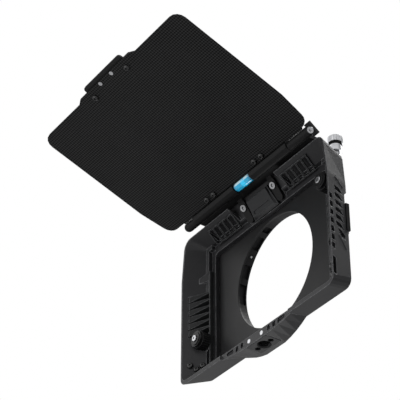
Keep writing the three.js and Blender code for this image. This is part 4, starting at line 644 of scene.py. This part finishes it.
class NodeShape:
    """A geometry node tree with named inputs, made a plain mesh once it has been evaluated."""

    def __init__(self, name: str) -> None:
        """Starts an empty tree."""
        self.tree = bpy.data.node_groups.new(name, "GeometryNodeTree")
        for way in ("INPUT", "OUTPUT"):
            self.tree.interface.new_socket("Geometry", in_out=way, socket_type="NodeSocketGeometry")
        self.start = self.tree.nodes.new("NodeGroupInput")
        self.end = self.tree.nodes.new("NodeGroupOutput")

    def size(self, name: str, value: float) -> bpy.types.NodeSocket:
        """Adds a named number to the tree's inputs.

        Args:
            name: The input's name.
            value: Its value at first.

        Returns:
            The input's socket inside the tree.
        """
        item = self.tree.interface.new_socket(name, in_out="INPUT", socket_type="NodeSocketFloat")
        item.default_value = value
        return self.start.outputs[name]

    def node(self, kind: str, settings: Optional[dict] = None, inputs: Optional[dict] = None,
             output: Union[int, str] = 0) -> bpy.types.NodeSocket:
        """Adds a node.

        Args:
            kind: The node's type.
            settings: Its properties.
            inputs: Values or links by socket index or name.
            output: Which output is wanted.

        Returns:
            That output.
        """
        node = self.tree.nodes.new(kind)
        for key, value in (settings or {}).items():
            setattr(node, key, value)
        for key, value in (inputs or {}).items():
            if isinstance(value, bpy.types.NodeSocket):
                self.tree.links.new(value, node.inputs[key])
            else:
                node.inputs[key].default_value = value
        return node.outputs[output]

    def finish(self, geometry: bpy.types.NodeSocket, material: bpy.types.Material) -> None:
        """Ends the tree with real geometry and its material.

        Args:
            geometry: The shape.
            material: Its finish.
        """
        real = self.node("GeometryNodeRealizeInstances", {}, {0: geometry})
        dressed = self.node("GeometryNodeSetMaterial", {}, {"Geometry": real, "Material": material})
        self.tree.links.new(dressed, self.end.inputs[0])

    def mesh(self, name: str, sizes: dict[str, float],
             path: Optional[Sequence[Place]] = None) -> bpy.types.Object:
        """Runs the tree.

        Args:
            name: The new piece's name.
            sizes: Values of the named inputs.
            path: Points of an open path that the tree follows.

        Returns:
            The piece as a plain mesh at the origin.
        """
        base = bpy.data.meshes.new(name + "_path")
        points = list(path or [])
        base.from_pydata(points, [(i, i + 1) for i in range(len(points) - 1)], [])
        carrier = bpy.data.objects.new(name + "_carrier", base)
        bpy.context.scene.collection.objects.link(carrier)
        modifier = carrier.modifiers.new("shape", "NODES")
        modifier.node_group = self.tree
        for item in self.tree.interface.items_tree:
            if item.item_type == "SOCKET" and item.in_out == "INPUT" and item.name in sizes:
                modifier[item.identifier] = sizes[item.name]
        bpy.context.view_layer.update()
        graph = bpy.context.evaluated_depsgraph_get()
        result = bpy.data.meshes.new_from_object(carrier.evaluated_get(graph))
        carrier.modifiers.remove(modifier)
        bpy.data.objects.remove(carrier)
        piece = bpy.data.objects.new(name, result)
        bpy.context.scene.collection.objects.link(piece)
        return piece


def rib_shape(name: str, radius: float, sides: int, material: bpy.types.Material) -> NodeShape:
    """Builds a tree for a rib that follows a path.

    Args:
        name: Name of the tree.
        radius: The rib's radius.
        sides: Faces around the rib.
        material: The rib's finish.

    Returns:
        The tree, with the input Radius.
    """
    shape = NodeShape(name)
    size = shape.size("Radius", radius)
    curve = shape.node("GeometryNodeMeshToCurve", {}, {0: shape.start.outputs[0]})
    profile = shape.node("GeometryNodeCurvePrimitiveCircle", {}, {
        "Resolution": sides, "Radius": size})
    body = shape.node("GeometryNodeCurveToMesh", {}, {
        "Curve": curve, "Profile Curve": profile, "Fill Caps": True})
    shape.finish(body, material)
    return shape


def dress(names: Iterable[str], material: bpy.types.Material) -> None:
    """Gives CAD nodes a finish.

    Args:
        names: Names of the nodes.
        material: Their finish.
    """
    for name in names:
        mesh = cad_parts[name].data
        mesh.materials.clear()
        mesh.materials.append(material)
        log.info("dressed %s with %s", name, material.name)


def numbered(stem: str, count: int) -> list[str]:
    """Returns the names of a counted set of nodes."""
    return [f"{stem}_{i + 1}" for i in range(count)]


def settle(piece: bpy.types.Object, body: Body) -> None:
    """Ties an added piece to its body.

    Args:
        piece: The finished piece.
        body: The body that it moves with.
    """
    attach(piece, body.value)
    log.info("built %s, %d faces", piece.name, len(piece.data.polygons))


@dataclass
class HoodShell:
    """The sculpted housing with its louvres and the creases on its outer sides."""

    rim_half: float = 95 * MM
    side_taper: float = 6 * MM
    depth: float = 22 * MM
    crease: float = 0.45 * MM
    crease_sides: int = 8
    creases: tuple[tuple[Pair, Pair], ...] = (  # depths and heights of their ends, in millimetres
        ((-13.2, 28.6), (-3.8, 22.6)),
        ((-12.1, -22.8), (-3.2, -32.2)),
    )

    def skin(self, depth: float) -> float:
        """Returns the half width of the outer side at a depth."""
        return self.rim_half - self.side_taper * (depth + self.depth) / self.depth

    def build(self, finishes: Finishes) -> None:
        """Adds the creases.

        Args:
            finishes: The built materials.
        """
        shape = rib_shape("crease_rib", self.crease, self.crease_sides, finishes.shell)
        for hand, side in (("left", -1), ("right", 1)):
            for number, run in enumerate(self.creases, 1):
                path = [(side * self.skin(y * MM), y * MM, z * MM) for y, z in run]
                piece = shape.mesh(f"side_crease_{hand}_{number}", {"Radius": self.crease}, path)
                settle(piece, Body.HOUSING)

    def dress(self, finishes: Finishes) -> None:
        """Dresses the carried nodes.

        Args:
            finishes: The built materials.
        """
        dress(["hood"], finishes.shell)
        dress(["side_louvre_left", "side_louvre_right", "top_louvre_left", "top_louvre_right"],
              finishes.louvre)
        dress(numbered("corner_screw_left", 3) + numbered("corner_screw_right", 3), finishes.screw)
        dress(numbered("lip_magnet", 2), finishes.steel)


@dataclass
class LensSeat:
    """The back plate, the notched ring behind it and its detent."""

    screws: int = 4

    def dress(self, finishes: Finishes) -> None:
        """Dresses the carried nodes.

        Args:
            finishes: The built materials.
        """
        dress(["back_plate"], finishes.plate)
        dress(["lens_ring"], finishes.ring)
        dress(numbered("ring_screw", self.screws), finishes.screw)
        dress(["detent_plunger"], finishes.steel)


@dataclass
class SupportPad:
    """The threaded pad under the bulge."""

    place: Place = (0, -11.5 * MM, -69.2 * MM)
    radius: float = 4.8 * MM
    pitch: float = 1.5875 * MM
    turns: float = 3.2
    crest: float = 0.3 * MM
    crest_sides: int = 4
    steps: int = 32  # in one turn

    def build(self, finishes: Finishes) -> None:
        """Adds the thread inside the hole.

        Args:
            finishes: The built materials.
        """
        shape = NodeShape("thread_helix")
        radius = shape.size("Radius", self.radius)
        height = shape.size("Height", self.pitch * self.turns)
        turns = shape.size("Turns", self.turns)
        crest = shape.size("Crest", self.crest)
        helix = shape.node("GeometryNodeCurveSpiral", {}, {
            "Resolution": self.steps, "Rotations": turns, "Start Radius": radius,
            "End Radius": radius, "Height": height})
        profile = shape.node("GeometryNodeCurvePrimitiveCircle", {}, {
            "Resolution": self.crest_sides, "Radius": crest})
        body = shape.node("GeometryNodeCurveToMesh", {}, {
            "Curve": helix, "Profile Curve": profile, "Fill Caps": True})
        placed = shape.node("GeometryNodeTransform", {}, {0: body, "Translation": self.place})
        shape.finish(placed, finishes.pad)
        piece = shape.mesh("pad_thread", {
            "Radius": self.radius, "Height": self.pitch * self.turns, "Turns": self.turns,
            "Crest": self.crest})
        settle(piece, Body.HOUSING)

    def dress(self, finishes: Finishes) -> None:
        """Dresses the carried node."""
        dress(["mount_pad"], finishes.pad)


@dataclass
class FilterKnobs:
    """The two knobs that hold the filter."""

    hands: tuple[str, str] = ("left", "right")

    def dress(self, finishes: Finishes) -> None:
        """Dresses the carried nodes.

        Args:
            finishes: The built materials.
        """
        for hand in self.hands:
            dress([f"retaining_knob_{hand}"], finishes.knurl)
            dress([f"knob_cap_{hand}"], finishes.steel)


@dataclass
class FlagBracket:
    """The fixed bracket on the hood's face with its cover, screws, barrels and pins."""

    def dress(self, finishes: Finishes) -> None:
        """Dresses the carried nodes.

        Args:
            finishes: The built materials.
        """
        dress(["flag_bracket", "barrel_cap_left", "barrel_cap_right"], finishes.anodised)
        dress(["bracket_cover"], finishes.cover)
        dress(numbered("bracket_screw", 2) + ["tension_screw"], finishes.silver)
        dress(["hinge_pin_left", "hinge_pin_right"], finishes.steel)


@dataclass
class TopFlag:
    """The carbon sheet on its bar, with the vial and the pull tab."""

    hinge: Pair = (-29.5 * MM, 68.5 * MM)
    lean: float = math.radians(19.95)

    def dress(self, finishes: Finishes) -> None:
        """Dresses the carried nodes.

        Args:
            finishes: The built materials.
        """
        dress(["flag_sheet"], finishes.carbon)
        dress(["flag_bar"], finishes.anodised)
        dress(["level_vial"], finishes.vial)
        dress(["pull_tab"], finishes.tab)
        dress(numbered("flag_screw", 4) + numbered("tab_screw", 2), finishes.screw)
        dress(numbered("tab_magnet", 2), finishes.steel)


@dataclass
class PlateLock:
    """The lock knob and the sliding latch that hold the back plate."""

    def dress(self, finishes: Finishes) -> None:
        """Dresses the carried nodes.

        Args:
            finishes: The built materials.
        """
        dress(["lock_knob"], finishes.silver)
        dress(["lock_ring"], finishes.rubber)
        dress(["side_latch"], finishes.anodised)
        dress(["latch_screw"], finishes.screw)


@dataclass(frozen=True)
class Lamp:
    """A soft square lamp."""

    name: str
    place: Place
    size: float
    power: float

    def hang(self, aim: Vector) -> bpy.types.Object:
        """Adds the lamp.

        Args:
            aim: The point that it faces.

        Returns:
            The lamp.
        """
        light = bpy.data.lights.new(self.name, "AREA")
        light.shape = "SQUARE"
        light.size = self.size
        light.energy = self.power
        lamp = bpy.data.objects.new(self.name, light)
        lamp.location = self.place
        lamp.rotation_euler = (aim - Vector(self.place)).to_track_quat("-Z", "Y").to_euler()
        lamp.visible_camera = False
        bpy.context.scene.collection.objects.link(lamp)
        return lamp


@dataclass
class Studio:
    """Plain floor, soft lamps, pale surroundings and the camera below the hood."""

    azimuth: float = math.radians(55.068)
    elevation: float = math.radians(35.225)
    roll: float = math.radians(0.154)
    distance: float = 1.2131
    focal: float = 1567.74  # in pixels of the frame
    frame_width: float = 400
    origin: Pair = (274.21, 269.27)  # where the part's origin meets the frame, in pixels
    sensor: float = 36
    clip: Pair = (0.05, 20)
    floor_height: float = -0.78
    floor_half: float = 4.0
    floor_colour: Colour = (0.86, 0.86, 0.86)
    floor_cloud: float = 0.4
    floor_tone: float = 0.98
    floor_bump: float = 0.02
    floor_roughness: float = 0.9
    floor_specular: float = 0.2
    ambient: float = 0.48
    glossy: float = 0.85
    rear_range: Pair = (0.2, 0.75)  # how far to the rear a direction points as the light falls off
    dim_rear: float = 0.2  # what is left of the strength there
    aim: Place = (0, -0.05, 0.02)  # where the lamps point
    lamps: list[Lamp] = field(default_factory=lambda: [
        Lamp("high_right", (0.75, 0.2, 1.3), 0.5, 1.4),
        Lamp("front_left", (-0.85, -0.68, 0.7), 0.6, 0.8),
        Lamp("low_left", (-0.78, 0.6, -0.6), 0.3, 0.9),
        Lamp("front_low", (-0.25, -1.3, -0.35), 0.8, 3.0),
        Lamp("above_rear", (-0.2, 0.9, 1.2), 0.9, 8.0),
    ])

    def camera(self) -> None:
        """Adds the camera at the view of the photograph."""
        sin_a, cos_a = math.sin(self.azimuth), math.cos(self.azimuth)
        sin_e, cos_e = math.sin(self.elevation), math.cos(self.elevation)
        ahead = Vector((-sin_a * cos_e, cos_a * cos_e, sin_e))
        right = ahead.cross(Vector((0, 0, 1))).normalized()
        above = right.cross(ahead)
        cos_r, sin_r = math.cos(self.roll), math.sin(self.roll)
        right, above = right * cos_r + above * sin_r, above * cos_r - right * sin_r
        centre = self.frame_width / 2
        x = (self.origin[0] - centre) / self.focal * self.distance
        y = (centre - self.origin[1]) / self.focal * self.distance
        place = -(right * x + above * y + ahead * self.distance)
        data = bpy.data.cameras.new("camera")
        data.sensor_fit = "HORIZONTAL"
        data.sensor_width = self.sensor
        data.lens = self.sensor * self.focal / self.frame_width
        data.clip_start, data.clip_end = self.clip
        data.dof.use_dof = False
        camera = bpy.data.objects.new("camera", data)
        turn = Matrix((right, above, -ahead)).transposed().to_4x4()
        camera.matrix_world = Matrix.Translation(place) @ turn
        bpy.context.scene.collection.objects.link(camera)
        bpy.context.scene.camera = camera

    def world(self) -> None:
        """Makes surroundings that are white where they are seen and light less from the rear."""
        paint = Paint(bpy.data.worlds.new("studio"))
        seen = paint.ray(Ray.CAMERA).most(paint.ray(Ray.TRANSMISSION))
        level = self.ambient + paint.ray(Ray.GLOSSY) * (self.glossy - self.ambient)
        _, depth, _ = paint.split(paint.node("ShaderNodeTexCoord", {}, {}, "Generated"))
        rear = 1 - paint.spread(depth, *self.rear_range) * (1 - self.dim_rear)
        light = paint.node("ShaderNodeBackground", {}, {
            "Color": (1, 1, 1), "Strength": seen.most(level * rear)})
        bpy.context.scene.world = paint.close(light, "ShaderNodeOutputWorld")

    def floor(self) -> None:
        """Adds the pale floor far below the part."""
        half, height = self.floor_half, self.floor_height
        mesh = bpy.data.meshes.new("floor")
        mesh.from_pydata([(-half, -half, height), (half, -half, height), (half, half, height),
                          (-half, half, height)], [], [(0, 1, 2, 3)])
        floor = bpy.data.objects.new("floor", mesh)
        bpy.context.scene.collection.objects.link(floor)
        paint = Paint.material("floor")
        cloud = paint.noise(paint.place(), self.floor_cloud)
        base = paint.blend(cloud, tinted(self.floor_colour, self.floor_tone), self.floor_colour)
        normal = paint.bump(cloud, MM, self.floor_bump)
        mesh.materials.append(paint.surface(base, self.floor_roughness, normal, 0.0,
                                            self.floor_specular))

    def build(self) -> None:
        """Sets up the whole studio."""
        settings = bpy.context.scene.view_settings
        settings.view_transform = "Standard"
        self.world()
        self.floor()
        for lamp in self.lamps:
            lamp.hang(Vector(self.aim))
        self.camera()


def main() -> None:
    """Dresses the part, adds the trim and sets up the studio."""
    logging.basicConfig(level=logging.INFO, format="%(message)s")
    flag = TopFlag()
    finishes = make_finishes(flag.hinge, flag.lean)
    hood, pad = HoodShell(), SupportPad()
    for assembly in (hood, LensSeat(), pad, FilterKnobs(), FlagBracket(), flag, PlateLock()):
        assembly.dress(finishes)
    for assembly in (hood, pad):
        assembly.build(finishes)
    Studio().build()


if __name__ == "__main__":
    main()
